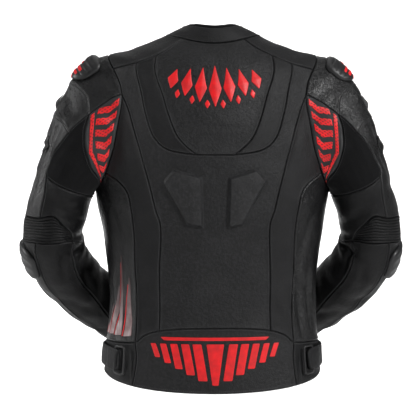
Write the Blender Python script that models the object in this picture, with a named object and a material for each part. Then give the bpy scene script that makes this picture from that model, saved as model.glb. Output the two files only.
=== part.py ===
"""Leather motorcycle jacket for road racing, filled out as it is when worn.

Metres, +Z up, +Y the way the wearer faces, +X the wearer's right. The origin is the middle of the
neck hole, level with the points where the collar meets the shoulder line.

Three curved sheets carry every piece: the trunk, the sleeve and the collar. A place on a sheet is
an angle round it in degrees (0 at the back, 90 at the side or the outside of the arm, 180 at the
front) and a distance along it in metres. Seams are smooth lines on a sheet, and each panel is the
wall that fills a loop of seams. The left half is the right half mirrored.
"""
import math

import bpy
import numpy as np
from mathutils.geometry import delaunay_2d_cdt

# ---------------------------------------------------------------- driving sizes
LEATHER = 0.0020            # wall of the leather and stretch panels
SEAM_HALF_GAP = 0.00017     # each edge is cut back this far from its seam line
SEAT = 0.0007               # air between a panel and what lies on it
ZIP_HALF = 0.011            # half the width of the front zip
HEM = 0.665                 # distance along the trunk from the neck seam to the hem
CUFF_TOP = 0.374            # distances along the sleeve from the biceps ring
CUFF_END = 0.416
COLLAR_HEIGHT = 0.033
COLLAR_EDGE = 0.0065        # soft band on top of the collar
TRUNK_CELL = 0.0245         # spacing of the points on each sheet
SLEEVE_CELL = 0.0190
RIB_HEIGHT = 0.0022         # accordion ribs above the elbow
ZIP_SLIDER_AT = 0.026       # the slider's place below the neck seam
TAB_AXIS_DOWN = -0.0040     # the pull tab's pivot, from the middle of the slider
TAB_AXIS_OUT = 0.0050

# ---------------------------------------------------------------- the trunk
# distance  half    back    front   square-  z at     z at     z at
# along     width   depth   depth   ness     back     side     front
TRUNK_RINGS = np.array([
    (0.000, 0.0920, 0.0600, 0.0560, 0.000, 0.0070, 0.0217, -0.0400),     # neck seam
    (0.026, 0.1180, 0.0760, 0.0660, -0.010, -0.0130, 0.0105, -0.0600),
    (0.078, 0.1690, 0.0960, 0.0780, -0.025, -0.0480, -0.0055, -0.0900),
    (0.105, 0.1957, 0.1050, 0.0850, -0.030, -0.0720, -0.0114, -0.1100),  # shoulder point
    (0.165, 0.2130, 0.1150, 0.0970, -0.015, -0.1170, -0.0600, -0.1500),
    (0.235, 0.2195, 0.1220, 0.1100, 0.005, -0.1740, -0.1400, -0.2000),   # shoulder blades
    (0.350, 0.2215, 0.1220, 0.1210, 0.020, -0.2670, -0.2640, -0.2700),   # armpit
    (0.385, 0.2160, 0.1185, 0.1230, 0.025, -0.3030, -0.3020, -0.3040),
    (0.450, 0.2035, 0.1100, 0.1220, 0.028, -0.3750, -0.3750, -0.3750),
    (0.510, 0.1972, 0.1060, 0.1190, 0.028, -0.4400, -0.4380, -0.4360),   # waist
    (0.560, 0.1958, 0.1080, 0.1170, 0.028, -0.4950, -0.4900, -0.4870),
    (0.610, 0.2000, 0.1130, 0.1160, 0.028, -0.5560, -0.5450, -0.5400),
    (0.665, 0.2050, 0.1190, 0.1150, 0.028, -0.6415, -0.6080, -0.6000),   # hem, longer behind
])

# ---------------------------------------------------------------- the sleeve
# The armhole on the trunk: angle round the arm, angle round the trunk, distance along the trunk.
ARMHOLE = np.array([
    (-270, 90.0, 0.105), (-240, 116.3, 0.126), (-210, 126.0, 0.169), (-180, 129.0, 0.220),
    (-150, 126.0, 0.283), (-120, 113.6, 0.3366), (-90, 90.0, 0.350), (-60, 67.2, 0.335),
    (-30, 57.0, 0.2865), (0, 54.3, 0.231), (30, 54.0, 0.179), (60, 65.5, 0.138),
])
# Rings of the arm below the armpit: distance along, centre x, y, z, half width, half depth.
SLEEVE_RINGS = np.array([
    (0.000, 0.2815, -0.010, -0.260, 0.0585, 0.0680),     # biceps
    (0.053, 0.2965, -0.002, -0.311, 0.0565, 0.0650),
    (0.107, 0.3020, 0.018, -0.362, 0.0575, 0.0625),      # elbow
    (0.174, 0.2835, 0.053, -0.415, 0.0580, 0.0590),
    (0.259, 0.2360, 0.100, -0.468, 0.0550, 0.0560),
    (0.345, 0.1820, 0.150, -0.514, 0.0480, 0.0500),
    (0.416, 0.1350, 0.190, -0.551, 0.0420, 0.0430),      # cuff
])
# Which way the sleeve leaves the armhole at its top, armpit, back and front.
SLEEVE_LEAVES = np.array([(1.0, 0.0, -0.06), (0.45, 0.0, -0.9), (0.93, 0.05, -0.35), (0.93, 0.1, -0.35)])
LEAVE_PULL, ARRIVE_PULL = 0.86, 0.92    # how strongly the cap follows both directions
CAP_EASE = 1.06                         # length of the sleeve cap over its straight chord

# ---------------------------------------------------------------- folds
# start (angle, along), end (angle, along), half width, depth. A trough is positive.
TRUNK_CREASES = np.array([
    (58, 0.470, 68, 0.600, 0.011, 0.0040),
    (74, 0.500, 80, 0.606, 0.010, 0.0032),
    (50, 0.540, 54, 0.605, 0.009, 0.0030),
    (88, 0.520, 100, 0.585, 0.012, 0.0035),
    (50, 0.612, 47, 0.662, 0.006, 0.0030),
    (130, 0.500, 150, 0.560, 0.014, 0.0040),
    (125, 0.400, 140, 0.455, 0.014, 0.0035),
])
SLEEVE_CREASES = np.array([
    (70, -0.120, 62, 0.010, 0.008, 0.0035),
    (92, -0.090, 84, 0.035, 0.008, 0.0035),
    (-75, 0.058, 10, 0.022, 0.008, 0.0040),
    (-95, 0.085, -20, 0.075, 0.008, 0.0045),
    (-110, 0.118, -30, 0.118, 0.009, 0.0050),
    (-150, 0.100, -90, 0.098, 0.010, 0.0060),
    (-145, 0.140, -60, 0.150, 0.010, 0.0040),
    (60, 0.185, -5, 0.215, 0.010, 0.0032),
    (-100, 0.230, -20, 0.265, 0.011, 0.0032),
    (100, 0.300, 20, 0.325, 0.010, 0.0030),
    (150, 0.030, 210, 0.060, 0.011, 0.0040),
])

# ---------------------------------------------------------------- finishes
# name: base colour, roughness, metallic
FINISHES = {
    "leather": ((0.012, 0.012, 0.013), 0.48, 0.0),
    "stretch": ((0.008, 0.008, 0.009), 0.85, 0.0),
    "accent": ((0.55, 0.010, 0.015), 0.60, 0.0),
    "slider": ((0.020, 0.020, 0.021), 0.35, 0.0),
    "soft edge": ((0.010, 0.010, 0.011), 0.90, 0.0),
    "zip": ((0.015, 0.015, 0.016), 0.70, 0.0),
    "metal": ((0.32, 0.32, 0.33), 0.35, 1.0),
}


# ================================================================ curves and sheets
def smooth(knots, values, x):
    """A cubic through the knots, with slopes taken from their neighbours, read at x."""
    slopes = np.gradient(values, knots, axis=0)
    i = np.clip(np.searchsorted(knots, x, side="right") - 1, 0, len(knots) - 2)
    width = knots[i + 1] - knots[i]
    t = (x - knots[i]) / width
    t, width = t[..., None], width[..., None]
    rise = 3 * t**2 - 2 * t**3
    return ((1 - rise) * values[i] + rise * values[i + 1]
            + width * ((t**3 - 2 * t**2 + t) * slopes[i] + (t**3 - t**2) * slopes[i + 1]))


def unit(vectors):
    return vectors / np.linalg.norm(vectors, axis=-1, keepdims=True)


def oval(angle, half_width, back, front, squareness, z_back, z_side, z_front):
    """A point at an angle round a body section, whose height changes from back to side to front."""
    c, s = np.cos(angle), np.sin(angle)
    depth = np.where(c > 0, back, front)
    x = half_width * (s + squareness * np.sin(3 * angle)) / (1 - squareness)
    y = -depth * (c - squareness * np.cos(3 * angle)) / (1 - squareness)
    z = ((z_back + z_front + 2 * z_side) / 4 + (z_back - z_front) / 2 * c
         + (z_back + z_front - 2 * z_side) / 4 * np.cos(2 * angle))
    return np.stack([x, y, z], axis=-1)


def trunk_shape(angle, along):
    ring = smooth(TRUNK_RINGS[:, 0], TRUNK_RINGS[:, 1:], along)
    return oval(angle, *np.moveaxis(ring, -1, 0))


def collar_shape(angle, along):
    """A stand collar that leans in from the neck seam to a smaller ring, with a soft outward roll."""
    t = (along / COLLAR_HEIGHT)[..., None]
    foot = trunk_shape(angle, np.zeros_like(along))
    top = oval(angle, 0.0560, 0.0540, 0.0460, 0.0, 0.0370, 0.0385, -0.0040)
    out = unit(foot * np.array([1, 1, 0]))
    return foot + (top - foot) * t + out * 0.0035 * (4 * t * (1 - t))


def armhole(turn):
    """The armhole line at an angle round the arm, as angle and distance on the trunk."""
    table = np.concatenate([ARMHOLE, ARMHOLE + [360, 0, 0], ARMHOLE + [720, 0, 0]])
    table[:, 0] -= 360
    return smooth(table[:, 0], table[:, 1:], (turn + 270) % 360 - 270)


def arm_frames():
    """Centre, outward and backward axes along the arm, turned as little as the bend allows."""
    along = np.linspace(0, CUFF_END, 209)
    centre = smooth(SLEEVE_RINGS[:, 0], SLEEVE_RINGS[:, 1:4], along)
    down = unit(np.gradient(centre, along, axis=0))
    outward = np.zeros_like(centre)
    axis = np.array([1.0, 0.0, 0.2])
    for i, direction in enumerate(down):
        axis = unit(axis - direction * (axis @ direction))
        outward[i] = axis
    return along, np.concatenate([centre, outward, np.cross(down, outward)], axis=1)


ARM_ALONG, ARM_FRAMES = arm_frames()


def arm_ring(turn, along):
    """A point at an angle round the arm on the ring at a distance below the biceps."""
    frame = np.stack([np.interp(along, ARM_ALONG, column) for column in ARM_FRAMES.T], axis=-1)
    size = smooth(SLEEVE_RINGS[:, 0], SLEEVE_RINGS[:, 4:6], along)
    outward = frame[..., 3:6] * (size[..., :1] * np.sin(turn)[..., None])
    backward = frame[..., 6:9] * (size[..., 1:] * np.cos(turn)[..., None])
    return frame[..., :3] + outward + backward


def cap_length(turn_degrees):
    """Length of the sleeve cap from the armhole to the biceps ring, at an angle round the arm."""
    hole = armhole(turn_degrees)
    start = trunk_shape(np.radians(hole[..., 0]), hole[..., 1])
    end = arm_ring(np.radians(turn_degrees), np.zeros_like(turn_degrees, dtype=float))
    return np.linalg.norm(end - start, axis=-1) * CAP_EASE


def sleeve_shape(turn, along):
    """Above the biceps ring (along < 0) a cubic from the armhole to the ring, below it the arm."""
    hole = armhole(np.degrees(turn))
    start = trunk_shape(np.radians(hole[..., 0]), hole[..., 1])
    end = arm_ring(turn, np.zeros_like(along))
    chord = np.linalg.norm(end - start, axis=-1, keepdims=True)
    s, c = np.sin(turn)[..., None], np.cos(turn)[..., None]
    shares = np.concatenate([np.maximum(s, 0), np.maximum(-s, 0), np.maximum(c, 0), np.maximum(-c, 0)], -1)
    leave = unit(shares**2 @ SLEEVE_LEAVES) * chord * LEAVE_PULL
    arrive = unit(arm_ring(turn, np.full_like(along, 1e-4)) - end) * chord * ARRIVE_PULL
    t = np.minimum(1 + along[..., None] / (chord * CAP_EASE), 1)
    rise = 3 * t**2 - 2 * t**3
    cap = ((1 - rise) * start + rise * end + (t**3 - 2 * t**2 + t) * leave + (t**3 - t**2) * arrive)
    return np.where(along[..., None] < 0, cap, arm_ring(turn, np.maximum(along, 0)))


class Sheet:
    """A curved sheet, its size per degree, the spacing of its points and its folds."""

    def __init__(self, shape, radius, cell, creases=None):
        self.shape = shape
        self.scale = np.array([math.radians(1) * radius, 1.0])
        self.cell = cell
        self.creases = np.zeros((0, 6)) if creases is None else creases

    def smooth_place(self, points):
        return self.shape(np.radians(points[..., 0]), points[..., 1])

    def fold_depth(self, points):
        """Depth of the folds: a rounded trough round each crease line, fading out at its ends."""
        depth = np.zeros(points.shape[:-1])
        for u0, v0, u1, v1, half, deep in self.creases:
            start, end = np.array([u0, v0]) * self.scale, np.array([u1, v1]) * self.scale
            line = end - start
            for turn in (-360, 0, 360):
                beside = (points + [turn, 0]) * self.scale - start
                t = (beside @ line) / (line @ line)
                apart = np.linalg.norm(beside - np.clip(t, 0, 1)[..., None] * line, axis=-1)
                depth += deep * np.exp(-(apart / half)**2) * np.clip(4 * t * (1 - t), 0.15, 1)
        return depth

    def unit_normal(self, place, points):
        across, down = np.array([0.05, 0.0]), np.array([0.0, 2e-4])
        side = place(points + across) - place(points - across)
        drop = place(points + down) - place(points - down)
        return unit(np.cross(drop, side))

    def place(self, points):
        """Where the points of the sheet are, folds included."""
        bare = self.smooth_place(points)
        if not len(self.creases):
            return bare
        return bare - self.unit_normal(self.smooth_place, points) * self.fold_depth(points)[..., None]

    def normal(self, points):
        return self.unit_normal(self.place, points)


TRUNK = Sheet(trunk_shape, 0.170, TRUNK_CELL, TRUNK_CREASES)
SLEEVE = Sheet(sleeve_shape, 0.058, SLEEVE_CELL, SLEEVE_CREASES)
COLLAR = Sheet(lambda a, d: collar_shape(a, -d), 0.060, TRUNK_CELL)


# ================================================================ seams
def seam(sheet, rows, splits=(), counts=None):
    """Evenly spaced points along a smooth line, in pieces where other seams meet it."""
    rows = np.array(rows, dtype=float)
    knots = np.arange(len(rows), dtype=float)
    ends = [0, *splits, len(rows) - 1]
    counts = counts or [None] * (len(ends) - 1)
    pieces = []
    for a, b, count in zip(ends, ends[1:], counts):
        fine = smooth(knots, rows, np.linspace(a, b, 40 * (b - a) + 1))
        steps = np.linalg.norm(np.diff(sheet.smooth_place(fine), axis=0), axis=1)
        run = np.concatenate([[0], np.cumsum(steps)])
        parts = count or max(1, round(run[-1] / sheet.cell))
        at = np.linspace(0, run[-1], parts + 1)
        pieces.append(np.stack([np.interp(at, run, fine[:, k]) for k in (0, 1)], axis=1))
        pieces[-1][0], pieces[-1][-1] = fine[0], fine[-1]
    return pieces if splits else pieces[0]


def mirror(piece):
    return piece * [-1, 1]


def loop(*pieces):
    """Joins pieces of seam end to end into one closed outline, turning each as it needs."""
    first, second = pieces[0], pieces[1]
    starts_joined = min(np.abs(first[0] - second[k]).max() for k in (0, -1)) < 1e-6
    ends_joined = min(np.abs(first[-1] - second[k]).max() for k in (0, -1)) < 1e-6
    joined = list(first[::-1] if starts_joined and not ends_joined else first)
    for piece in pieces[1:]:
        if np.abs(piece[0] - joined[-1]).max() > 1e-6:
            piece = piece[::-1]
        if np.abs(piece[0] - joined[-1]).max() > 1e-6:
            raise ValueError(f"a seam does not meet the next one: {joined[-1]} and {piece[0]}, {piece[-1]}")
        joined.extend(piece[1:])
    return np.array(joined[:-1])


def on_armhole(first, last):
    """The same stretch of the armhole in trunk and in sleeve coordinates, a point each 10 degrees."""
    turns = np.arange(first, last + 1, 10, dtype=float)
    return armhole(turns), np.stack([turns, -cap_length(turns)], axis=1)


HOLE_TOP, SLEEVE_TOP = on_armhole(60, 120)              # over the shoulder, back to front
HOLE_BLADE, SLEEVE_BLADE = on_armhole(30, 60)           # above the rear accent panel
HOLE_BACK, _ = on_armhole(-50, 30)
HOLE_PIT, _ = on_armhole(-120, -50)
HOLE_FRONT, _ = on_armhole(120, 240)
_, SLEEVE_BACK = on_armhole(-70, 30)
_, SLEEVE_PIT = on_armhole(-110, -70)
_, SLEEVE_FRONT = on_armhole(150, 250)
_, SLEEVE_HEAD_FRONT = on_armhole(120, 150)


def zip_angle(along):
    """Angle on the trunk at which the front edge lies beside the zip."""
    ring = smooth(TRUNK_RINGS[:, 0], TRUNK_RINGS[:, 1:], np.asarray(along, dtype=float))
    half_width, squareness = ring[..., 0], ring[..., 3]
    return 180 - np.degrees(ZIP_HALF * (1 - squareness) / (half_width * (1 + 3 * squareness)))


def across(sheet, along, *angles):
    """A seam straight round the sheet at one distance, in pieces between the angles."""
    rows = [(angle, along) for angle in angles]
    return seam(sheet, rows, splits=range(1, len(rows) - 1))


BAND_TOP = 0.610            # where the waistband starts on the front
NECK_YOKE_BACK, NECK_YOKE_FRONT = 38, 140
NECK_ZIP = float(zip_angle(0.0))

NECK_BACK = across(TRUNK, 0.0, -NECK_YOKE_BACK, NECK_YOKE_BACK)
NECK_SIDE, NECK_FRONT = across(TRUNK, 0.0, NECK_YOKE_BACK, NECK_YOKE_FRONT, NECK_ZIP)

YOKE_NECK, YOKE_STRIP, YOKE_SHOULDER = seam(TRUNK, [
    (NECK_YOKE_BACK, 0.0), (42.0, 0.030), (45.5, 0.067), (51.0, 0.104), (58.0, 0.124), HOLE_BLADE[-1]],
    splits=(2, 3))
FRONT_YOKE = seam(TRUNK, [HOLE_TOP[-1], (127, 0.098), (136, 0.050), (NECK_YOKE_FRONT, 0.0)])
OUTER_U, U_BOTTOM_HALF = seam(TRUNK, [
    YOKE_STRIP[-1], (42.5, 0.156), (36.5, 0.200), (30.0, 0.243), (22.0, 0.266), (9.0, 0.273), (0.0, 0.273)],
    splits=(5,))
INNER_U = seam(TRUNK, [
    YOKE_STRIP[0], (37.5, 0.105), (30.0, 0.146), (23.5, 0.196), (17.5, 0.238), (9.0, 0.273)])
PRINCESS = seam(TRUNK, [
    HOLE_BLADE[0], (47.0, 0.205), (38.5, 0.262), (31.5, 0.335), (28.0, 0.387), (26.0, 0.416),
    (28.0, 0.482), (28.5, 0.540), (28.5, 0.5880)])
SIDE_SEAM = seam(TRUNK, [
    HOLE_BACK[0], (51.0, 0.3370), (44.5, 0.357), (42.5, 0.387), (42.5, 0.425), (44.0, 0.482),
    (43.5, 0.545), (44.0, 0.6070)])
FRONT_SEAM = seam(TRUNK, [HOLE_FRONT[-1], (115, 0.375), (116, 0.450), (116, 0.530), (118, BAND_TOP)])
BAND_BACK, BAND_SIDE, BAND_FLANK, BAND_FRONT = seam(TRUNK, [
    (0.0, 0.583), (15.0, 0.584), PRINCESS[-1], (38.0, 0.5965), SIDE_SEAM[-1], (60.0, 0.610), (90.0, 0.612),
    FRONT_SEAM[-1], (150.0, 0.608), (float(zip_angle(0.606)), 0.606)], splits=(2, 4, 7))
LUMBAR_EDGE = seam(TRUNK, [SIDE_SEAM[-1], (42.5, 0.632), (44.5, HEM)])
HEM_BACK, HEM_SIDE = across(TRUNK, HEM, 0, 44.5, float(zip_angle(HEM)))
FRONT_EDGE = seam(TRUNK, [(float(zip_angle(d)), d) for d in np.linspace(0, 0.606, 7)])
BAND_EDGE = seam(TRUNK, [(float(zip_angle(d)), d) for d in (0.606, 0.635, HEM)])

# Seams of the sleeve.
RIBS_OUTER, RIBS_BACK, RIBS_TALL = 3, 4, 2      # facets of the ribbed panel's edges
ACCENT_TOP = seam(SLEEVE, [SLEEVE_BLADE[0], (30, -0.205), (30, -0.180), (31, -0.157)])
HEAD_EDGE, HEAD_EDGE_FRONT = seam(SLEEVE, [
    (31, -0.157), (50, -0.183), (75, -0.186), (100, -0.182), (125, -0.186), SLEEVE_FRONT[0]], splits=(4,))
ACCENT_EDGE = seam(SLEEVE, [
    (31, -0.157), (21, -0.128), (7, -0.102), (-9, -0.080), (-27, -0.060), (-50, -0.044), SLEEVE_BACK[0]])
OUTER_SEAM_TOP, OUTER_SEAM_MID, OUTER_SEAM_LOW = seam(SLEEVE, [
    (31, -0.157), (36, -0.110), (40, -0.070), (42, -0.035), (36, -0.019), (30, 0.005), (27, 0.030),
    (26, 0.0525)], splits=(1, 4))
STRETCH_LOW = seam(SLEEVE, [(36, -0.019), (10, -0.010), (-20, -0.005), (-66, -0.002), (-110, 0.000)])
OUTER_JOINT = seam(SLEEVE, [(36, -0.110), (56, -0.119), (95, -0.121), (123, -0.118)])
FRONT_LINE_TOP, FRONT_LINE_LOW = seam(SLEEVE, [
    (125, -0.186), (123, -0.118), (121, -0.040), (120, 0.040), (120, 0.101)], splits=(1,))
INNER_LINE_TOP, INNER_LINE_LOW = seam(SLEEVE, [SLEEVE_PIT[0], (-110, 0.000), (-110, 0.060), (-110, 0.112)],
                                      splits=(1,))
RIB_TOP = seam(SLEEVE, [(75, 0.062), (26, 0.0525), (0, 0.046), (-25, 0.058)], splits=(1,),
               counts=(RIBS_OUTER, RIBS_BACK))
RIB_SIDE = seam(SLEEVE, [(75, 0.062), (75, 0.080), (75, 0.098)], counts=(RIBS_TALL,))
RIB_END = seam(SLEEVE, [(-25, 0.058), (-40, 0.069), (-50, 0.086)], counts=(RIBS_TALL,))
ELBOW_INNER, RIB_LOW_BACK, RIB_LOW_OUTER, ELBOW_OUTER = seam(SLEEVE, [
    (-110, 0.112), (-80, 0.103), (-50, 0.086), (-20, 0.084), (26, 0.089), (50, 0.094), (75, 0.098),
    (98, 0.101), (120, 0.101)], splits=(2, 4, 6), counts=(None, RIBS_BACK, RIBS_OUTER, None))
ELBOW_FRONT = seam(SLEEVE, [(120, 0.101), (180, 0.088), (250, 0.112)])
FOREARM_SEAM = seam(SLEEVE, [(26, 0.089), (26, 0.160), (24, 0.260), (24, CUFF_TOP)])
FOREARM_INNER = seam(SLEEVE, [(-50, 0.086), (-38, 0.150), (-34, 0.230), (-20, 0.310), (-15, CUFF_TOP)])
FOREARM_FRONT = seam(SLEEVE, [(120, 0.101), (122, 0.200), (125, 0.300), (125, CUFF_TOP)])
CUFF_BACK, CUFF_OUTER, CUFF_INNER = across(SLEEVE, CUFF_TOP, -15, 24, 125, 345)
CUFF_HEM = across(SLEEVE, CUFF_END, -15, 345)

# Collar: distances are negative upwards, so that a loop turns the same way on every sheet.
COLLAR_TOP = across(COLLAR, -COLLAR_HEIGHT, -NECK_ZIP, NECK_ZIP)
COLLAR_RIM = across(COLLAR, -COLLAR_HEIGHT - COLLAR_EDGE, -NECK_ZIP, NECK_ZIP)


def joint_normals():
    """Where two sheets meet, both walls are cut on the plane between them."""
    turns = np.arange(-270, 90, 10, dtype=float)
    hole = armhole(turns)
    cap = np.stack([turns, -cap_length(turns)], axis=1)
    neck = np.concatenate([mirror(NECK_FRONT), mirror(NECK_SIDE), NECK_BACK, NECK_SIDE, NECK_FRONT])
    places = np.concatenate([TRUNK.place(hole), TRUNK.place(neck)])
    sides = np.concatenate([TRUNK.normal(hole) + SLEEVE.normal(cap), TRUNK.normal(neck) + COLLAR.normal(neck)])
    return places, unit(sides)


JOINT_PLACES, JOINT_NORMALS = joint_normals()


# ================================================================ meshes
def make_material(name):
    colour, roughness, metallic = FINISHES[name]
    material = bpy.data.materials.new(name)
    material.use_nodes = True
    shader = material.node_tree.nodes["Principled BSDF"]
    shader.inputs["Base Color"].default_value = (*colour, 1.0)
    shader.inputs["Roughness"].default_value = roughness
    shader.inputs["Metallic"].default_value = metallic
    return material


def add_object(name, points, faces, finish, side=1, origin=(0.0, 0.0, 0.0)):
    """One named piece; side -1 mirrors it to the left of the jacket."""
    points = (np.asarray(points) - origin) * [side, 1, 1]
    faces = [tuple(face[::-1]) if side < 0 else tuple(face) for face in faces]
    mesh = bpy.data.meshes.new(name)
    mesh.from_pydata(points.tolist(), [], faces)
    mesh.materials.append(MATERIALS[finish])
    mesh.shade_smooth()
    mesh.set_sharp_from_angle(angle=math.radians(35))
    piece = bpy.data.objects.new(name, mesh)
    piece.location = origin
    bpy.context.collection.objects.link(piece)
    return piece


def inside(points, outline):
    """Which points lie inside a closed outline, by counting crossings."""
    x, y = points[:, None, 0], points[:, None, 1]
    a, b = outline, np.roll(outline, -1, axis=0)
    spans = (a[:, 1] > y) != (b[:, 1] > y)
    slope = np.where(a[:, 1] == b[:, 1], 1.0, b[:, 1] - a[:, 1])
    crossing = a[:, 0] + (y - a[:, 1]) * (b[:, 0] - a[:, 0]) / slope
    return (spans & (x < crossing)).sum(axis=1) % 2 == 1


def edge_distance(points, outline):
    """Distance of each point from a closed outline."""
    a, b = outline, np.roll(outline, -1, axis=0)
    line = b - a
    t = np.clip(((points[:, None] - a) * line).sum(-1) / (line**2).sum(-1), 0, 1)
    return np.linalg.norm(points[:, None] - a - t[..., None] * line, axis=-1).min(axis=1)


def fill(sheet, outline, cell):
    """Points and triangles that fill an outline: its own points first, then a staggered lattice."""
    flat = outline * sheet.scale
    low, high = flat.min(axis=0), flat.max(axis=0)
    rows = np.arange(low[1] + cell / 3, high[1], cell * 0.866)
    columns = np.arange(low[0] - cell, high[0] + cell, cell)
    grid = np.stack(np.meshgrid(columns, rows), axis=-1)
    grid[1::2, :, 0] += cell / 2
    grid = grid.reshape(-1, 2)
    grid = grid[inside(grid, flat)]
    if len(grid):
        grid = grid[edge_distance(grid, flat) > 0.55 * cell]
    points = np.concatenate([flat, grid])
    ring = list(range(len(flat)))
    area = 0.5 * (flat[:, 0] * np.roll(flat[:, 1], -1) - flat[:, 1] * np.roll(flat[:, 0], -1)).sum()
    if area < 0:
        ring.reverse()
    found = delaunay_2d_cdt([tuple(p) for p in points], [], [ring], 1, 1e-7)
    source = [origins[0] for origins in found[3]]
    triangles = [tuple(source[i] for i in face) for face in found[2]]
    return points / sheet.scale, triangles, len(flat), area > 0


def cut_back(place, normal, turned):
    """Moves the points of an outline into the panel, square to both edges that meet there."""
    before = unit(place - np.roll(place, 1, axis=0))
    after = unit(np.roll(place, -1, axis=0) - place)
    sign = 1.0 if turned else -1.0
    first, second = unit(np.cross(before, normal)) * sign, unit(np.cross(after, normal)) * sign
    both = first + second
    spread = np.maximum((both * first).sum(-1, keepdims=True), 0.25)
    return place + both / spread * SEAM_HALF_GAP


def edge_faces(points, ring, count):
    """The faces along the edge of a wall, each split on its shorter diagonal as its neighbour's is."""
    faces = []
    for i, j in zip(ring, np.roll(ring, -1)):
        if np.linalg.norm(points[i] - points[j + count]) < np.linalg.norm(points[j] - points[i + count]):
            faces += [(i, j, j + count), (i, j + count, i + count)]
        else:
            faces += [(i, j, i + count), (j, j + count, i + count)]
    return faces


def wall(name, sheet, outline, finish, side=1, thickness=LEATHER, lift=None, rim=1.0, slope=0.01,
         cell=None):
    """The panel that fills an outline: a wall inside the sheet, or one that lies on it when lifted.

    A lifted piece has only the share rim of its thickness at its edge and reaches the whole of it
    within the distance slope.
    """
    points, triangles, ring, turned = fill(sheet, outline, cell or sheet.cell)
    place, normal = sheet.place(points), sheet.normal(points)
    near = np.linalg.norm(place[:ring, None] - JOINT_PLACES, axis=-1)
    joined = near.min(axis=1) < 1e-6
    own = normal[:ring].copy()
    shared = JOINT_NORMALS[near.argmin(axis=1)]
    normal[:ring] = np.where(joined[:, None], shared, own)
    place[:ring] = cut_back(place[:ring], normal[:ring], turned)
    depth = np.full(len(place), thickness)
    depth[:ring] /= np.clip((normal[:ring] * own).sum(axis=1), 0.5, 1)
    if lift is None:
        outer, inner = place, place - normal * depth[:, None]
    else:
        apart = np.clip(edge_distance(points * sheet.scale, outline * sheet.scale) / slope, 0, 1)
        height = thickness * (rim + (1 - rim) * np.sin(apart * math.pi / 2))
        outer, inner = place + normal * (lift + height)[:, None], place + normal * lift
    count = len(points)
    faces = [face[::-1] for face in triangles]
    faces += [tuple(i + count for i in face) for face in triangles]
    order = np.arange(ring) if turned else np.arange(ring)[::-1]
    points = np.concatenate([outer, inner])
    return add_object(name, points, faces + edge_faces(points, order, count), finish, side)


def both_sides(name, *arguments, **options):
    """The right piece and its mirror image on the left."""
    wall(name + "_right", *arguments, **options)
    wall(name + "_left", *arguments, side=-1, **options)


def chain(pieces, parts):
    """Points on the straight facets of a chain of seam pieces, parts to each facet."""
    line = np.concatenate([pieces[0]] + [piece[1:] for piece in pieces[1:]])
    steps = np.arange(len(line), dtype=float)
    at = np.linspace(0, len(line) - 1, (len(line) - 1) * parts + 1)
    corners = np.concatenate([line, SLEEVE.place(line), SLEEVE.normal(line)], axis=1)
    between = np.stack([np.interp(at, steps, column) for column in corners.T], axis=1)
    return between[:, :2], between[:, 2:5], unit(between[:, 5:])


def ribbed_panel(name, top, side_line, end_line, low, finish, side):
    """A four-sided panel with ridges across the arm, raised on its outer face over a plain inside."""
    edges = [chain(top, 1), chain(low, 1), chain([side_line], 6), chain([end_line], 6)]
    top_points, low_points, start_points, end_points = (edge[0] for edge in edges)
    rows, columns = len(start_points), len(top_points)
    v, u = np.linspace(0, 1, rows)[:, None, None], np.linspace(0, 1, columns)[None, :, None]
    points = ((1 - v) * top_points[None] + v * low_points[None] + (1 - u) * start_points[:, None]
              + u * end_points[:, None] - (1 - u) * (1 - v) * top_points[0] - u * (1 - v) * top_points[-1]
              - (1 - u) * v * low_points[0] - u * v * low_points[-1])
    place, normal = SLEEVE.place(points), SLEEVE.normal(points)
    for table, part in ((place, 1), (normal, 2)):
        table[0], table[-1], table[:, 0], table[:, -1] = (edge[part] for edge in edges)
    index = np.arange(rows * columns).reshape(rows, columns)
    ring = np.concatenate([index[0], index[1:, -1], index[-1, -2::-1], index[-2:0:-1, 0]])
    place, normal = place.reshape(-1, 3), normal.reshape(-1, 3)
    place[ring] = cut_back(place[ring], normal[ring], False)
    ridge = np.zeros((rows, columns))
    ridge[1:-1:2, 1:-1] = RIB_HEIGHT
    outer, inner = place + normal * ridge.reshape(-1, 1), place - normal * LEATHER
    quads = np.stack([index[:-1, :-1], index[:-1, 1:], index[1:, 1:], index[1:, :-1]], -1).reshape(-1, 4)
    count = rows * columns
    faces = [(a, b, c) for a, b, c, d in quads] + [(a, c, d) for a, b, c, d in quads]
    faces += [tuple(i + count for i in face[::-1]) for face in faces]
    points = np.concatenate([outer, inner])
    return add_object(name, points, faces + edge_faces(points, ring[::-1], count), finish, side)


def lofted(name, rings, finish, origin=(0.0, 0.0, 0.0)):
    """A closed solid lofted through rings of equally many points, capped at both ends."""
    rings = np.asarray(rings)
    count, size = rings.shape[:2]
    index = np.arange(count * size).reshape(count, size)
    faces = [tuple(index[0][::-1]), tuple(index[-1])]
    for a, b in zip(index, index[1:]):
        for i in range(size):
            j = (i + 1) % size
            faces.append((a[i], a[j], b[j], b[i]))
    return add_object(name, rings.reshape(-1, 3), faces, finish, origin=origin)


MATERIALS = {}


# ================================================================ the pieces
def build_collar():
    foot = [mirror(NECK_FRONT)[::-1], mirror(NECK_SIDE)[::-1], NECK_BACK, NECK_SIDE, NECK_FRONT]
    rise = seam(COLLAR, [(NECK_ZIP, 0.0), (NECK_ZIP, -COLLAR_HEIGHT)])
    step = seam(COLLAR, [(NECK_ZIP, -COLLAR_HEIGHT), (NECK_ZIP, -COLLAR_HEIGHT - COLLAR_EDGE)])
    wall("collar", COLLAR, loop(*foot, rise, COLLAR_TOP, mirror(rise)), "leather")
    wall("collar_edge", COLLAR, loop(COLLAR_TOP, step, COLLAR_RIM, mirror(step)), "soft edge")


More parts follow.
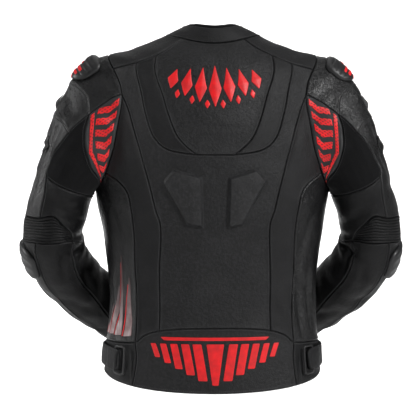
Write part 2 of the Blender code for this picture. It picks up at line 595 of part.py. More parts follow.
def build_trunk():
    both_sides("yoke", TRUNK, loop(NECK_SIDE, FRONT_YOKE, HOLE_TOP, YOKE_SHOULDER, YOKE_STRIP, YOKE_NECK),
               "leather")
    wall("back_upper", TRUNK, loop(NECK_BACK, YOKE_NECK, INNER_U, U_BOTTOM_HALF, mirror(U_BOTTOM_HALF),
                                   mirror(INNER_U), mirror(YOKE_NECK)), "leather")
    both_sides("back_strip", TRUNK, loop(YOKE_STRIP, OUTER_U, INNER_U), "leather")
    wall("back_lower", TRUNK, loop(U_BOTTOM_HALF, OUTER_U, YOKE_SHOULDER, HOLE_BLADE, PRINCESS, BAND_BACK,
                                   mirror(BAND_BACK), mirror(PRINCESS), mirror(HOLE_BLADE),
                                   mirror(YOKE_SHOULDER), mirror(OUTER_U), mirror(U_BOTTOM_HALF)), "leather")
    both_sides("back_side", TRUNK, loop(PRINCESS, BAND_SIDE, SIDE_SEAM, HOLE_BACK), "leather")
    both_sides("side", TRUNK, loop(SIDE_SEAM, BAND_FLANK, FRONT_SEAM, HOLE_PIT), "leather")
    both_sides("front", TRUNK, loop(FRONT_YOKE, HOLE_FRONT, FRONT_SEAM, BAND_FRONT, FRONT_EDGE, NECK_FRONT),
               "leather")
    wall("lumbar_panel", TRUNK, loop(BAND_BACK, BAND_SIDE, LUMBAR_EDGE, HEM_BACK, mirror(HEM_BACK),
                                     mirror(LUMBAR_EDGE), mirror(BAND_SIDE), mirror(BAND_BACK)), "leather")
    both_sides("waistband", TRUNK, loop(BAND_FLANK, BAND_FRONT, BAND_EDGE, HEM_SIDE, LUMBAR_EDGE), "leather")


def build_back_pads():
    """Two five-sided pads on the back, one either side of the spine."""
    corners = [(5.5, 0.3245), (18.5, 0.307), (24.0, 0.335), (16.5, 0.385), (13.0, 0.413), (5.0, 0.418)]
    sides = [seam(TRUNK, [a, b]) for a, b in zip(corners, corners[1:] + corners[:1])]
    both_sides("back_pad", TRUNK, loop(*sides), "leather", thickness=0.0050, lift=SEAT, rim=0.25,
               slope=0.007, cell=0.012)


def build_sleeves():
    both_sides("sleeve_head", SLEEVE, loop(SLEEVE_TOP, SLEEVE_BLADE, ACCENT_TOP, HEAD_EDGE, HEAD_EDGE_FRONT,
                                           SLEEVE_HEAD_FRONT), "leather")
    both_sides("rear_accent", SLEEVE, loop(ACCENT_TOP, ACCENT_EDGE, SLEEVE_BACK), "accent")
    both_sides("sleeve_stretch", SLEEVE, loop(ACCENT_EDGE, OUTER_SEAM_TOP, OUTER_SEAM_MID, STRETCH_LOW,
                                              INNER_LINE_TOP, SLEEVE_PIT), "stretch")
    both_sides("sleeve_outer_upper", SLEEVE, loop(HEAD_EDGE, FRONT_LINE_TOP, OUTER_JOINT, OUTER_SEAM_TOP),
               "leather")
    both_sides("sleeve_outer_lower", SLEEVE, loop(OUTER_JOINT, FRONT_LINE_LOW, ELBOW_OUTER, RIB_SIDE,
                                                  RIB_TOP[0], OUTER_SEAM_LOW, OUTER_SEAM_MID), "leather")
    both_sides("upper_arm_back", SLEEVE, loop(STRETCH_LOW, OUTER_SEAM_LOW, RIB_TOP[1], RIB_END, ELBOW_INNER,
                                              INNER_LINE_LOW), "leather")
    turn = np.array([360.0, 0.0])
    both_sides("sleeve_front", SLEEVE, loop(SLEEVE_FRONT, HEAD_EDGE_FRONT, FRONT_LINE_TOP, FRONT_LINE_LOW,
                                            ELBOW_FRONT, INNER_LINE_LOW + turn, INNER_LINE_TOP + turn),
               "leather")
    for name, side in (("right", 1), ("left", -1)):
        ribbed_panel("elbow_ribs_" + name, RIB_TOP, RIB_SIDE, RIB_END,
                     [RIB_LOW_OUTER[::-1], RIB_LOW_BACK[::-1]], "leather", side)
    both_sides("forearm_outer", SLEEVE, loop(RIB_LOW_OUTER, ELBOW_OUTER, FOREARM_FRONT, CUFF_OUTER,
                                             FOREARM_SEAM), "leather")
    both_sides("forearm_back", SLEEVE, loop(RIB_LOW_BACK, FOREARM_SEAM, CUFF_BACK, FOREARM_INNER), "leather")
    both_sides("forearm_inner", SLEEVE, loop(ELBOW_FRONT, FOREARM_FRONT, CUFF_INNER, FOREARM_INNER + turn,
                                             ELBOW_INNER + turn), "leather")


def build_cuffs():
    edge = seam(SLEEVE, [(-15, CUFF_TOP), (-15, CUFF_END)])
    both_sides("cuff", SLEEVE, loop(CUFF_BACK, CUFF_OUTER, CUFF_INNER, edge + np.array([360.0, 0.0]), CUFF_HEM,
                                    edge), "leather")


def rounded(sheet, centre, half, power, spacing):
    """A closed outline between an oval (power 2) and a rectangle, with evenly spaced points."""
    turn = np.linspace(0, 2 * math.pi, 1441)
    c, s = np.cos(turn), np.sin(turn)
    shape = np.stack([np.sign(c) * np.abs(c)**(2 / power), np.sign(s) * np.abs(s)**(2 / power)], axis=1)
    outline = np.array(centre) + np.array(half) * shape
    steps = np.linalg.norm(np.diff(sheet.smooth_place(outline), axis=0), axis=1)
    run = np.concatenate([[0], np.cumsum(steps)])
    at = np.linspace(0, run[-1], 2 * round(run[-1] / spacing / 2), endpoint=False)
    return np.stack([np.interp(at, run, outline[:, k]) for k in (0, 1)], axis=1)


def build_sliders():
    """Hard sliders on the shoulders and the elbows."""
    both_sides("shoulder_slider", SLEEVE, rounded(SLEEVE, (88, -0.2265), (25, 0.0355), 3.0, 0.0075), "slider",
               thickness=0.0070, lift=1.6 * SEAT, rim=0.3, slope=0.012, cell=0.0085)
    both_sides("elbow_slider", SLEEVE, rounded(SLEEVE, (71, 0.1285), (41, 0.0240), 3.2, 0.0075), "slider",
               thickness=0.0080, lift=SEAT, rim=0.3, slope=0.010, cell=0.010)


def build_hip_straps():
    """A strap round each side of the waistband, and the flat loop at its back end."""
    both_sides("hip_strap", TRUNK, rounded(TRUNK, (92.5, 0.6340), (31.0, 0.0165), 7.0, 0.0100), "leather",
               thickness=0.0035, lift=SEAT, rim=0.6, slope=0.004, cell=0.0115)
    outer = np.array([(53.5, 0.6135), (60.9, 0.6135), (60.9, 0.6545), (53.5, 0.6545)])
    inner = np.array([(55.0, 0.6175), (59.6, 0.6175), (59.6, 0.6505), (55.0, 0.6505)])
    corners = np.concatenate([outer, inner])
    place, normal = TRUNK.place(corners), TRUNK.normal(corners)
    faces = []
    for i in range(4):
        j = (i + 1) % 4
        faces += [(i, i + 4, j + 4, j), (i + 8, j + 8, j + 12, i + 12)]
        faces += [(i, j, j + 8, i + 8), (i + 4, i + 12, j + 12, j + 4)]
    for name, side in (("right", 1), ("left", -1)):
        add_object("strap_loop_" + name, np.concatenate([place + normal * 0.0034, place + normal * 0.0009]),
                   faces, "slider", side)


def build_zip():
    """The zip strip down the front, its slider near the top, and the pull tab that hangs from it."""
    other = lambda piece: np.array([360.0, 0.0]) + mirror(piece)
    top = seam(TRUNK, [FRONT_EDGE[0], other(FRONT_EDGE)[0]])
    bottom = seam(TRUNK, [BAND_EDGE[-1], other(BAND_EDGE)[-1]])
    wall("front_zip", TRUNK, loop(top, FRONT_EDGE, BAND_EDGE, bottom, other(BAND_EDGE), other(FRONT_EDGE)),
         "zip")
    at = np.array([180.0, ZIP_SLIDER_AT])
    place, out = TRUNK.place(at), TRUNK.normal(at)
    across_x = np.array([1.0, 0.0, 0.0])
    down = np.cross(out, across_x)

    def local(rows):
        rows = np.asarray(rows)
        return place + rows[..., :1] * across_x + rows[..., 1:2] * down + rows[..., 2:] * out

    base, floor, rail = SEAT, 0.0032, 0.0068
    channel = [(-0.0050, base), (0.0050, base), (0.0050, rail), (0.0031, rail), (0.0031, floor),
               (-0.0031, floor), (-0.0031, rail), (-0.0050, rail)]
    lofted("zip_slider", local([[(x, d, n) for x, n in channel] for d in (0.0075, -0.0065)]), "metal")
    tab_middle, tab_half = TAB_AXIS_OUT, 0.0008
    stations = [(-0.0011, 0.0020), (0.0, 0.0026), (0.0115, 0.0026), (0.0135, 0.0042), (0.0265, 0.0042),
                (0.0285, 0.0026)]
    rings = [[(-w, TAB_AXIS_DOWN + d, tab_middle - tab_half), (w, TAB_AXIS_DOWN + d, tab_middle - tab_half),
              (w, TAB_AXIS_DOWN + d, tab_middle + tab_half), (-w, TAB_AXIS_DOWN + d, tab_middle + tab_half)]
             for d, w in reversed(stations)]
    axis = local([0.0, TAB_AXIS_DOWN, TAB_AXIS_OUT])
    lofted("zip_pull", local(rings), "metal", origin=axis)


def build_all():
    for old in list(bpy.data.objects):
        bpy.data.objects.remove(old, do_unlink=True)
    for name in FINISHES:
        MATERIALS[name] = make_material(name)
    build_collar()
    build_trunk()
    build_back_pads()
    build_sleeves()
    build_cuffs()
    build_sliders()
    build_hip_straps()
    build_zip()


build_all()
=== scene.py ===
"""Looks of a leather race jacket, filled out as it is when worn.

Metres, +Z up, +Y the way the wearer faces, +X the wearer's right. Every cloth panel is a fine sheet on the
form of its solid: a place on a sheet is an angle round it in degrees (0 at the back, 90 at the side or the
outside of the arm) and a distance along it. Seams are smooth lines on a sheet; the left side is the right
side mirrored, with folds of its own.
"""
from __future__ import annotations

import logging
import math
from collections.abc import Callable
from dataclasses import dataclass, field
from enum import Enum

import bpy
import numpy as np
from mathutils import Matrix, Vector
from mathutils.geometry import delaunay_2d_cdt

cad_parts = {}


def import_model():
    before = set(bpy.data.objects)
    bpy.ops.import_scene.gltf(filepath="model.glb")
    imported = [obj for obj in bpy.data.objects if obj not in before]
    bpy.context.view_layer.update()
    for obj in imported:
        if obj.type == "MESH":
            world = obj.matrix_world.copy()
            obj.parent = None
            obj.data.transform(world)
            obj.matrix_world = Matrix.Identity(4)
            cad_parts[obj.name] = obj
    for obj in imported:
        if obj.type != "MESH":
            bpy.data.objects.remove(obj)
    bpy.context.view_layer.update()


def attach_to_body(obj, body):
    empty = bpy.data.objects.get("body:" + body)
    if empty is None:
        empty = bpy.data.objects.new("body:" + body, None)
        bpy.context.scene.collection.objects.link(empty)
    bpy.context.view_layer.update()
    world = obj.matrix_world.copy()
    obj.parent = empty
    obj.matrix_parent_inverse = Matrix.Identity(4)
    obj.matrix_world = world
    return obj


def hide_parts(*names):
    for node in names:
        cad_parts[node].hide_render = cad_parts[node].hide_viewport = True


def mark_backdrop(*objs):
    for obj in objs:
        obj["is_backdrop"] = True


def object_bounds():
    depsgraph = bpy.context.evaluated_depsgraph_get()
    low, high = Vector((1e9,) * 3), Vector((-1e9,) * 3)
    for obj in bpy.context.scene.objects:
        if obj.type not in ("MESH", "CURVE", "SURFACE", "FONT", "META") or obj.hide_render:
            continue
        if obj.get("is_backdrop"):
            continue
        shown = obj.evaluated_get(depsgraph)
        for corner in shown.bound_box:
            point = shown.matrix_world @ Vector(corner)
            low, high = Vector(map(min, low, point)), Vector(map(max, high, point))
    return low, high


LOG = logging.getLogger("jacket")
Array, Piece, Material, Socket = np.ndarray, bpy.types.Object, bpy.types.Material, bpy.types.NodeSocket
Height = Callable[[Array, Array], Array]    # a height at points, given their distances from the edge too

# ---------------- driving sizes
LEATHER = 0.0018            # thickness of a panel
SEAM_HALF_GAP = 0.00012     # each panel's edge stops this far from its seam line
ZIP_HALF = 0.011            # half the width of the front zip
HEM = 0.665                 # distances along the trunk from the neck seam
BAND_TOP = 0.610
CUFF_TOP = 0.374            # distances along the sleeve from the biceps ring
CUFF_END = 0.416
COLLAR_HEIGHT = 0.033
COLLAR_EDGE = 0.0065
COLLAR_RING = np.array([0.0560, 0.0540, 0.0460, 0.0, 0.0370, 0.0385, -0.0040])  # its top, as a trunk ring
COLLAR_BULGE = 0.0035
CELL = 0.0050               # spacing of the points on a panel
EDGE_ROWS = (0.0008, 0.0018, 0.0030, 0.0046, 0.0070)    # rows of points beside each seam
SEAM_SINK, SEAM_ROUND = 0.0013, 0.0010                  # how far an edge sinks into its seam, and how soon
SEAM_PUFF, PUFF_AT, PUFF_WIDTH = 0.0009, 0.0030, 0.0018  # the puff beside it: height, place and width
STITCH_LENGTH, STITCH_PITCH, STITCH_HALF = 0.0026, 0.0036, 0.00034
STITCH_INSET = 0.0027       # distance of a row of stitches from its seam
HEM_INSET, ZIP_INSET = 0.0045, 0.0035
TURN_STEP = 2.5             # degrees between the points of the armhole
JOINT_FADE, JOINT_SHARE = 0.014, 0.007  # how far from a joint folds fade out, and its cut turns the wall
SHOULDER_RADIUS = 0.19      # turns degrees into metres near the armhole
STEP_ACROSS, STEP_DOWN = np.array([0.05, 0.0]), np.array([0.0, 2e-4])   # steps by which slopes are taken
SAME_POINT = 1e-6
SENSOR, PICTURE = 36.0, 420.0           # width of the camera's sensor in mm and of the picture in pixels
ACROSS = np.array([1.0, 0.0, 0.0])
PAST_SEAM_MARKS = 0.01               # distance from an edge at which leather shows none of its seam marks: neither the lighter band of use and painted highlight nor the painted seam shade

# distance  half    back    front   square-  z at     z at     z at
# along     width   depth   depth   ness     back     side     front
TRUNK_RINGS = np.array([
    (0.000, 0.0920, 0.0600, 0.0560, 0.000, 0.0070, 0.0217, -0.0400),
    (0.026, 0.1180, 0.0760, 0.0660, -0.010, -0.0130, 0.0105, -0.0600),
    (0.078, 0.1690, 0.0960, 0.0780, -0.025, -0.0480, -0.0055, -0.0900),
    (0.105, 0.1957, 0.1050, 0.0850, -0.030, -0.0720, -0.0114, -0.1100),
    (0.165, 0.2130, 0.1150, 0.0970, -0.015, -0.1170, -0.0600, -0.1500),
    (0.235, 0.2195, 0.1220, 0.1100, 0.005, -0.1740, -0.1400, -0.2000),
    (0.350, 0.2215, 0.1220, 0.1210, 0.020, -0.2670, -0.2640, -0.2700),
    (0.385, 0.2160, 0.1185, 0.1230, 0.025, -0.3030, -0.3020, -0.3040),
    (0.450, 0.2035, 0.1100, 0.1220, 0.028, -0.3750, -0.3750, -0.3750),
    (0.510, 0.1972, 0.1060, 0.1190, 0.028, -0.4400, -0.4380, -0.4360),
    (0.560, 0.1958, 0.1080, 0.1170, 0.028, -0.4950, -0.4900, -0.4870),
    (0.610, 0.2000, 0.1130, 0.1160, 0.028, -0.5560, -0.5450, -0.5400),
    (0.665, 0.2050, 0.1190, 0.1150, 0.028, -0.6415, -0.6080, -0.6000),
])
# The armhole: angle round the arm, angle round the trunk, distance along the trunk.
ARMHOLE = np.array([
    (-270, 90.0, 0.105), (-240, 116.3, 0.126), (-210, 126.0, 0.169), (-180, 129.0, 0.220),
    (-150, 126.0, 0.283), (-120, 113.6, 0.3366), (-90, 90.0, 0.350), (-60, 67.2, 0.335),
    (-30, 57.0, 0.2865), (0, 54.3, 0.231), (30, 54.0, 0.179), (60, 65.5, 0.138),
])
# Rings of the arm: distance along, centre x, y, z, half width, half depth.
SLEEVE_RINGS = np.array([
    (0.000, 0.2815, -0.010, -0.260, 0.0585, 0.0680),
    (0.053, 0.2965, -0.002, -0.311, 0.0565, 0.0650),
    (0.107, 0.3020, 0.018, -0.362, 0.0575, 0.0625),
    (0.174, 0.2835, 0.053, -0.415, 0.0580, 0.0590),
    (0.259, 0.2360, 0.100, -0.468, 0.0550, 0.0560),
    (0.345, 0.1820, 0.150, -0.514, 0.0480, 0.0500),
    (0.416, 0.1350, 0.190, -0.551, 0.0420, 0.0430),
])
# Which way the sleeve leaves the armhole at its top, armpit, back and front.
SLEEVE_LEAVES = np.array([(1.0, 0.0, -0.06), (0.45, 0.0, -0.9), (0.93, 0.05, -0.35), (0.93, 0.1, -0.35)])
LEAVE_PULL, ARRIVE_PULL, CAP_EASE = 0.86, 0.92, 1.06

# Folds: angle and distance of start and end, half width, depth. A trough is positive, a ridge negative.
TRUNK_FOLDS_BOTH = [
    (58, 0.470, 68, 0.600, 0.011, 0.0040), (74, 0.500, 80, 0.606, 0.010, 0.0032),
    (50, 0.540, 54, 0.605, 0.009, 0.0030), (88, 0.520, 100, 0.585, 0.012, 0.0035),
    (50, 0.612, 47, 0.662, 0.006, 0.0030), (130, 0.500, 150, 0.560, 0.014, 0.0040),
    (125, 0.400, 140, 0.455, 0.014, 0.0035),
]
# Folds of one side only: the angle is positive on the wearer's right.
TRUNK_FOLDS = [
    (-53, 0.616, -51, 0.655, 0.0035, 0.0027), (-56, 0.612, -58, 0.648, 0.0040, 0.0030),
    (-47, 0.560, -52, 0.606, 0.0050, 0.0030), (-41, 0.575, -40, 0.592, 0.0040, 0.0016),
    (-60, 0.380, -52, 0.450, 0.0090, 0.0024), (-66, 0.540, -60, 0.606, 0.0060, 0.0032),
    (54, 0.614, 52, 0.650, 0.0040, 0.0027), (48, 0.500, 52, 0.600, 0.0080, 0.0030),
    (41, 0.470, 44, 0.560, 0.0100, -0.0016), (62, 0.530, 64, 0.606, 0.0060, 0.0030),
    (57, 0.390, 47, 0.470, 0.0100, 0.0024), (30, 0.545, 38, 0.575, 0.0100, 0.0014),
    (-34, 0.520, -38, 0.575, 0.0100, 0.0014), (-12, 0.205, 14, 0.212, 0.0060, 0.0011),
    (46, 0.215, 34, 0.330, 0.0110, 0.0019), (-46, 0.215, -36, 0.310, 0.0120, 0.0016),
    (-105, 0.430, -120, 0.500, 0.0110, 0.0041), (108, 0.450, 124, 0.520, 0.0110, 0.0038),
    (-145, 0.250, -128, 0.330, 0.0120, 0.0035), (145, 0.240, 127, 0.320, 0.0120, 0.0035),
    (-160, 0.420, -150, 0.520, 0.0130, 0.0027), (158, 0.380, 150, 0.470, 0.0130, 0.0027),
    (70, 0.060, 98, 0.080, 0.0090, 0.0014), (-70, 0.062, -96, 0.078, 0.0090, 0.0014),
]
SLEEVE_FOLDS_BOTH = [
    (70, -0.120, 62, 0.010, 0.008, 0.0035), (92, -0.090, 84, 0.035, 0.008, 0.0035),
    (-75, 0.058, 10, 0.022, 0.008, 0.0040), (-95, 0.085, -20, 0.075, 0.008, 0.0045),
    (-110, 0.118, -30, 0.118, 0.009, 0.0050), (-150, 0.100, -90, 0.098, 0.010, 0.0060),
    (-145, 0.140, -60, 0.150, 0.010, 0.0040), (60, 0.185, -5, 0.215, 0.010, 0.0032),
    (-100, 0.230, -20, 0.265, 0.011, 0.0032), (100, 0.300, 20, 0.325, 0.010, 0.0030),
    (150, 0.030, 210, 0.060, 0.011, 0.0040),
]
SLEEVE_FOLDS_RIGHT = [
    (-40, 0.010, 20, 0.030, 0.0050, 0.0030), (-50, 0.036, 14, 0.042, 0.0045, 0.0034),
    (-64, 0.096, -44, 0.170, 0.0060, 0.0056), (-36, 0.092, -56, 0.132, 0.0050, 0.0049),
    (-90, 0.128, -58, 0.104, 0.0050, 0.0045), (-20, 0.120, 2, 0.190, 0.0090, 0.0034),
    (8, 0.240, -26, 0.290, 0.0100, 0.0034), (50, 0.140, 40, 0.240, 0.0090, -0.0022),
    (20, -0.140, 10, -0.060, 0.0070, 0.0022), (66, -0.150, 80, -0.060, 0.0070, 0.0026),
    (-75, -0.050, -30, -0.030, 0.0050, 0.0026), (40, 0.330, -6, 0.350, 0.0070, 0.0026),
]
SLEEVE_FOLDS_LEFT = [
    (-46, 0.012, 18, 0.024, 0.0045, 0.0036), (-60, 0.034, 16, 0.034, 0.0045, 0.0036),
    (-66, 0.048, 0, 0.044, 0.0040, 0.0028), (58, -0.140, 52, -0.030, 0.0070, 0.0053),
    (80, -0.130, 74, -0.020, 0.0060, 0.0057), (66, -0.010, 60, 0.050, 0.0060, 0.0053),
    (48, -0.080, 46, 0.020, 0.0050, 0.0036), (70, -0.172, 48, -0.130, 0.0080, 0.0036),
    (-28, 0.100, -10, 0.170, 0.0080, 0.0036), (-60, 0.150, -30, 0.240, 0.0080, 0.0041),
    (10, 0.200, -16, 0.270, 0.0110, 0.0036), (58, 0.160, 34, 0.290, 0.0080, 0.0028),
    (30, 0.300, -10, 0.322, 0.0070, 0.0028), (10, -0.100, -20, -0.050, 0.0060, 0.0028),
]


class Side(Enum):
    """Which half of the jacket a piece is on."""

    RIGHT = 1
    LEFT = -1

    @property
    def suffix(self) -> str:
        """Ending of the names of this side's pieces."""
        return self.name.lower()

    @property
    def flip(self) -> Array:
        """Factors that bring places on the wearer's right to this side."""
        return np.array([self.value, 1, 1])


BOTH = (Side.RIGHT, Side.LEFT)


# ---------------- curves and sheets
def smooth(knots: Array, values: Array, x: Array) -> Array:
    """Reads a cubic through the knots: Hermite pieces whose slopes come from the neighbouring knots.

    Args:
        knots: increasing positions.
        values: a row for each knot.
        x: positions to read, of any shape.

    Returns:
        One row of values for each position.
    """
    slopes = np.gradient(values, knots, axis=0)
    i = np.clip(np.searchsorted(knots, x, side="right") - 1, 0, len(knots) - 2)
    width = (knots[i + 1] - knots[i])[..., None]
    t = (x - knots[i])[..., None] / width
    rise = 3 * t**2 - 2 * t**3
    return ((1 - rise) * values[i] + rise * values[i + 1]
            + width * ((t**3 - 2 * t**2 + t) * slopes[i] + (t**3 - t**2) * slopes[i + 1]))


def unit(vectors: Array) -> Array:
    """Each vector divided by its length."""
    return vectors / np.maximum(np.linalg.norm(vectors, axis=-1, keepdims=True), 1e-12)


def run_along(places: Array) -> Array:
    """Distance from the start of a line of places to each of them."""
    return np.concatenate([[0], np.cumsum(np.linalg.norm(np.diff(places, axis=0), axis=1))])


def read_line(at: Array | float, run: Array, line: Array) -> Array:
    """Points of a line on a sheet, straight between its own.

    Args:
        at: positions to read, of any shape.
        run: position of each of the line's own points.
        line: angle and distance of each of them.

    Returns:
        Angle and distance at each position.
    """
    return np.stack([np.interp(at, run, line[:, k]) for k in (0, 1)], axis=-1)


def signed_area(flat: Array) -> float:
    """Area in a closed flat outline, positive where it runs against the clock."""
    x, y = flat[:, 0], flat[:, 1]
    return float(0.5 * (x * np.roll(y, -1) - y * np.roll(x, -1)).sum())


def round_edge(edge: Array, width: float) -> Array:
    """A quarter circle from 0 at the edge to 1 at the width."""
    return np.sqrt(1 - (1 - np.clip(edge / width, 0, 1))**2)


def oval(angle: Array, ring: Array) -> Array:
    """A body section: an ellipse of unlike back and front, squared off, its height a cosine sum.

    Args:
        angle: angles round the body, in radians.
        ring: half width, back and front depth, squareness, and heights at back, side and front.

    Returns:
        A place for each angle.
    """
    half_width, back, front, squareness, z_back, z_side, z_front = np.moveaxis(ring, -1, 0)
    c, s = np.cos(angle), np.sin(angle)
    depth = np.where(c > 0, back, front)
    x = half_width * (s + squareness * np.sin(3 * angle)) / (1 - squareness)
    y = -depth * (c - squareness * np.cos(3 * angle)) / (1 - squareness)
    z = ((z_back + z_front + 2 * z_side) / 4 + (z_back - z_front) / 2 * c
         + (z_back + z_front - 2 * z_side) / 4 * np.cos(2 * angle))
    return np.stack([x, y, z], axis=-1)


def trunk_shape(angle: Array, along: Array) -> Array:
    """The trunk: the section of the rings' smooth curve at this distance, read at this angle."""
    return oval(angle, smooth(TRUNK_RINGS[:, 0], TRUNK_RINGS[:, 1:], along))


def collar_shape(angle: Array, along: Array) -> Array:
    """The collar: straight from the neck seam to a smaller ring, plus an outward parabola.

    Args:
        angle: angles round the neck, in radians.
        along: distances up from the neck seam.

    Returns:
        A place for each pair.
    """
    t = (along / COLLAR_HEIGHT)[..., None]
    foot = trunk_shape(angle, np.zeros_like(along))
    outward = unit(foot * np.array([1, 1, 0]))
    return foot + (oval(angle, COLLAR_RING) - foot) * t + outward * COLLAR_BULGE * (4 * t * (1 - t))


def armhole(turn: Array) -> Array:
    """The armhole line at an angle round the arm, as angle and distance on the trunk.

    Args:
        turn: angles round the arm, in degrees.

    Returns:
        Angle and distance on the trunk for each.
    """
    table = np.concatenate([ARMHOLE, ARMHOLE + [360, 0, 0], ARMHOLE + [720, 0, 0]])
    table[:, 0] -= 360
    return smooth(table[:, 0], table[:, 1:], (turn + 270) % 360 - 270)


def arm_frames() -> tuple[Array, Array]:
    """Distances along the arm with its centre, outward and backward axes, turned as little as it bends.

    Returns:
        The distances, and a row of the three for each.
    """
    along = np.linspace(0, CUFF_END, 209)
    centre = smooth(SLEEVE_RINGS[:, 0], SLEEVE_RINGS[:, 1:4], along)
    down = unit(np.gradient(centre, along, axis=0))
    outward = np.zeros_like(centre)
    axis = np.array([1.0, 0.0, 0.2])
    for i, direction in enumerate(down):
        axis = unit(axis - direction * (axis @ direction))
        outward[i] = axis
    return along, np.concatenate([centre, outward, np.cross(down, outward)], axis=1)


ARM_ALONG, ARM_FRAMES = arm_frames()


def arm_ring(turn: Array, along: Array) -> Array:
    """The arm below the biceps: centre + outward axis * width * sin + backward axis * depth * cos.

    Args:
        turn: angles round the arm, in radians.
        along: distances down it from the biceps ring.

    Returns:
        A place for each pair.
    """
    frame = np.stack([np.interp(along, ARM_ALONG, column) for column in ARM_FRAMES.T], axis=-1)
    size = smooth(SLEEVE_RINGS[:, 0], SLEEVE_RINGS[:, 4:6], along)
    return (frame[..., :3] + frame[..., 3:6] * (size[..., :1] * np.sin(turn)[..., None])
            + frame[..., 6:9] * (size[..., 1:] * np.cos(turn)[..., None]))


def cap_length(turn_degrees: Array) -> Array:
    """Length of the sleeve cap from the armhole to the biceps ring, at an angle round the arm.

    Args:
        turn_degrees: angles round the arm.

    Returns:
        The length at each angle.
    """
    hole = armhole(turn_degrees)
    start = trunk_shape(np.radians(hole[..., 0]), hole[..., 1])
    end = arm_ring(np.radians(turn_degrees), np.zeros_like(turn_degrees, dtype=float))
    return np.linalg.norm(end - start, axis=-1) * CAP_EASE


def sleeve_shape(turn: Array, along: Array) -> Array:
    """The sleeve: above the biceps ring a cubic from the armhole to the ring, below it the arm.

    Args:
        turn: angles round the arm, in radians.
        along: distances down it from the biceps ring, negative above it.

    Returns:
        A place for each pair.
    """
    hole = armhole(np.degrees(turn))
    start = trunk_shape(np.radians(hole[..., 0]), hole[..., 1])
    end = arm_ring(turn, np.zeros_like(along))
    chord = np.linalg.norm(end - start, axis=-1, keepdims=True)
    s, c = np.sin(turn)[..., None], np.cos(turn)[..., None]
    shares = np.concatenate([np.maximum(s, 0), np.maximum(-s, 0), np.maximum(c, 0), np.maximum(-c, 0)], -1)
    leave = unit(shares**2 @ SLEEVE_LEAVES) * chord * LEAVE_PULL
    arrive = unit(arm_ring(turn, np.full_like(along, 1e-4)) - end) * chord * ARRIVE_PULL
    t = np.minimum(1 + along[..., None] / (chord * CAP_EASE), 1)
    rise = 3 * t**2 - 2 * t**3
    cap = (1 - rise) * start + rise * end + (t**3 - 2 * t**2 + t) * leave + (t**3 - t**2) * arrive
    return np.where(along[..., None] < 0, cap, arm_ring(turn, np.maximum(along, 0)))


def rising(t: Array) -> Array:
    """A smooth step from 0 at t = 0 to 1 at t = 1."""
    t = np.clip(t, 0, 1)
    return t * t * (3 - 2 * t)


def on_armhole(first: float, last: float) -> tuple[Array, Array]:
    """The same stretch of the armhole in trunk and in sleeve coordinates."""
    turns = np.arange(first, last + TURN_STEP / 2, TURN_STEP)
    return armhole(turns), np.stack([turns, -cap_length(turns)], axis=1)


def joint_line() -> tuple[Array, Array]:
    """Points of the armhole and the neck seam, and the direction between the two sheets' normals there.

    Returns:
        The points, and the direction at each.
    """
    hole, cap = on_armhole(-270, 90 - TURN_STEP)
    neck = np.stack([np.arange(-178, 180, 2.0), np.zeros(179)], axis=1)
    trunk, sleeve = ClothSheet(trunk_shape, 1.0), ClothSheet(sleeve_shape, 1.0)
    collar = ClothSheet(lambda a, d: collar_shape(a, -d), 1.0)
    between = [trunk.bare_normal(hole) + sleeve.bare_normal(cap),
               trunk.bare_normal(neck) + collar.bare_normal(neck)]
    return trunk.bare(np.concatenate([hole, neck])), unit(np.concatenate(between))


def nearest_joint(place: Array) -> tuple[Array, Array]:
    """Distance from the nearest seam that joins two sheets, and the direction of that seam's cut.

    Args:
        place: places on either side of the jacket.

    Returns:
        The distances and the directions.
    """
    flat = place.reshape(-1, 3).copy()
    left = flat[:, 0] < 0
    flat[left, 0] *= -1
    apart = np.linalg.norm(flat[:, None] - JOINT_PLACES[None], axis=-1)
    found = apart.argmin(axis=1)
    direction = JOINT_NORMALS[found]
    direction[left, 0] *= -1
    return apart[np.arange(len(flat)), found].reshape(place.shape[:-1]), direction.reshape(place.shape)


def mirrored(rows: list) -> list:
    """Folds with their angles turned to the other side."""
    return [(-u0, v0, -u1, v1, half, deep) for u0, v0, u1, v1, half, deep in rows]


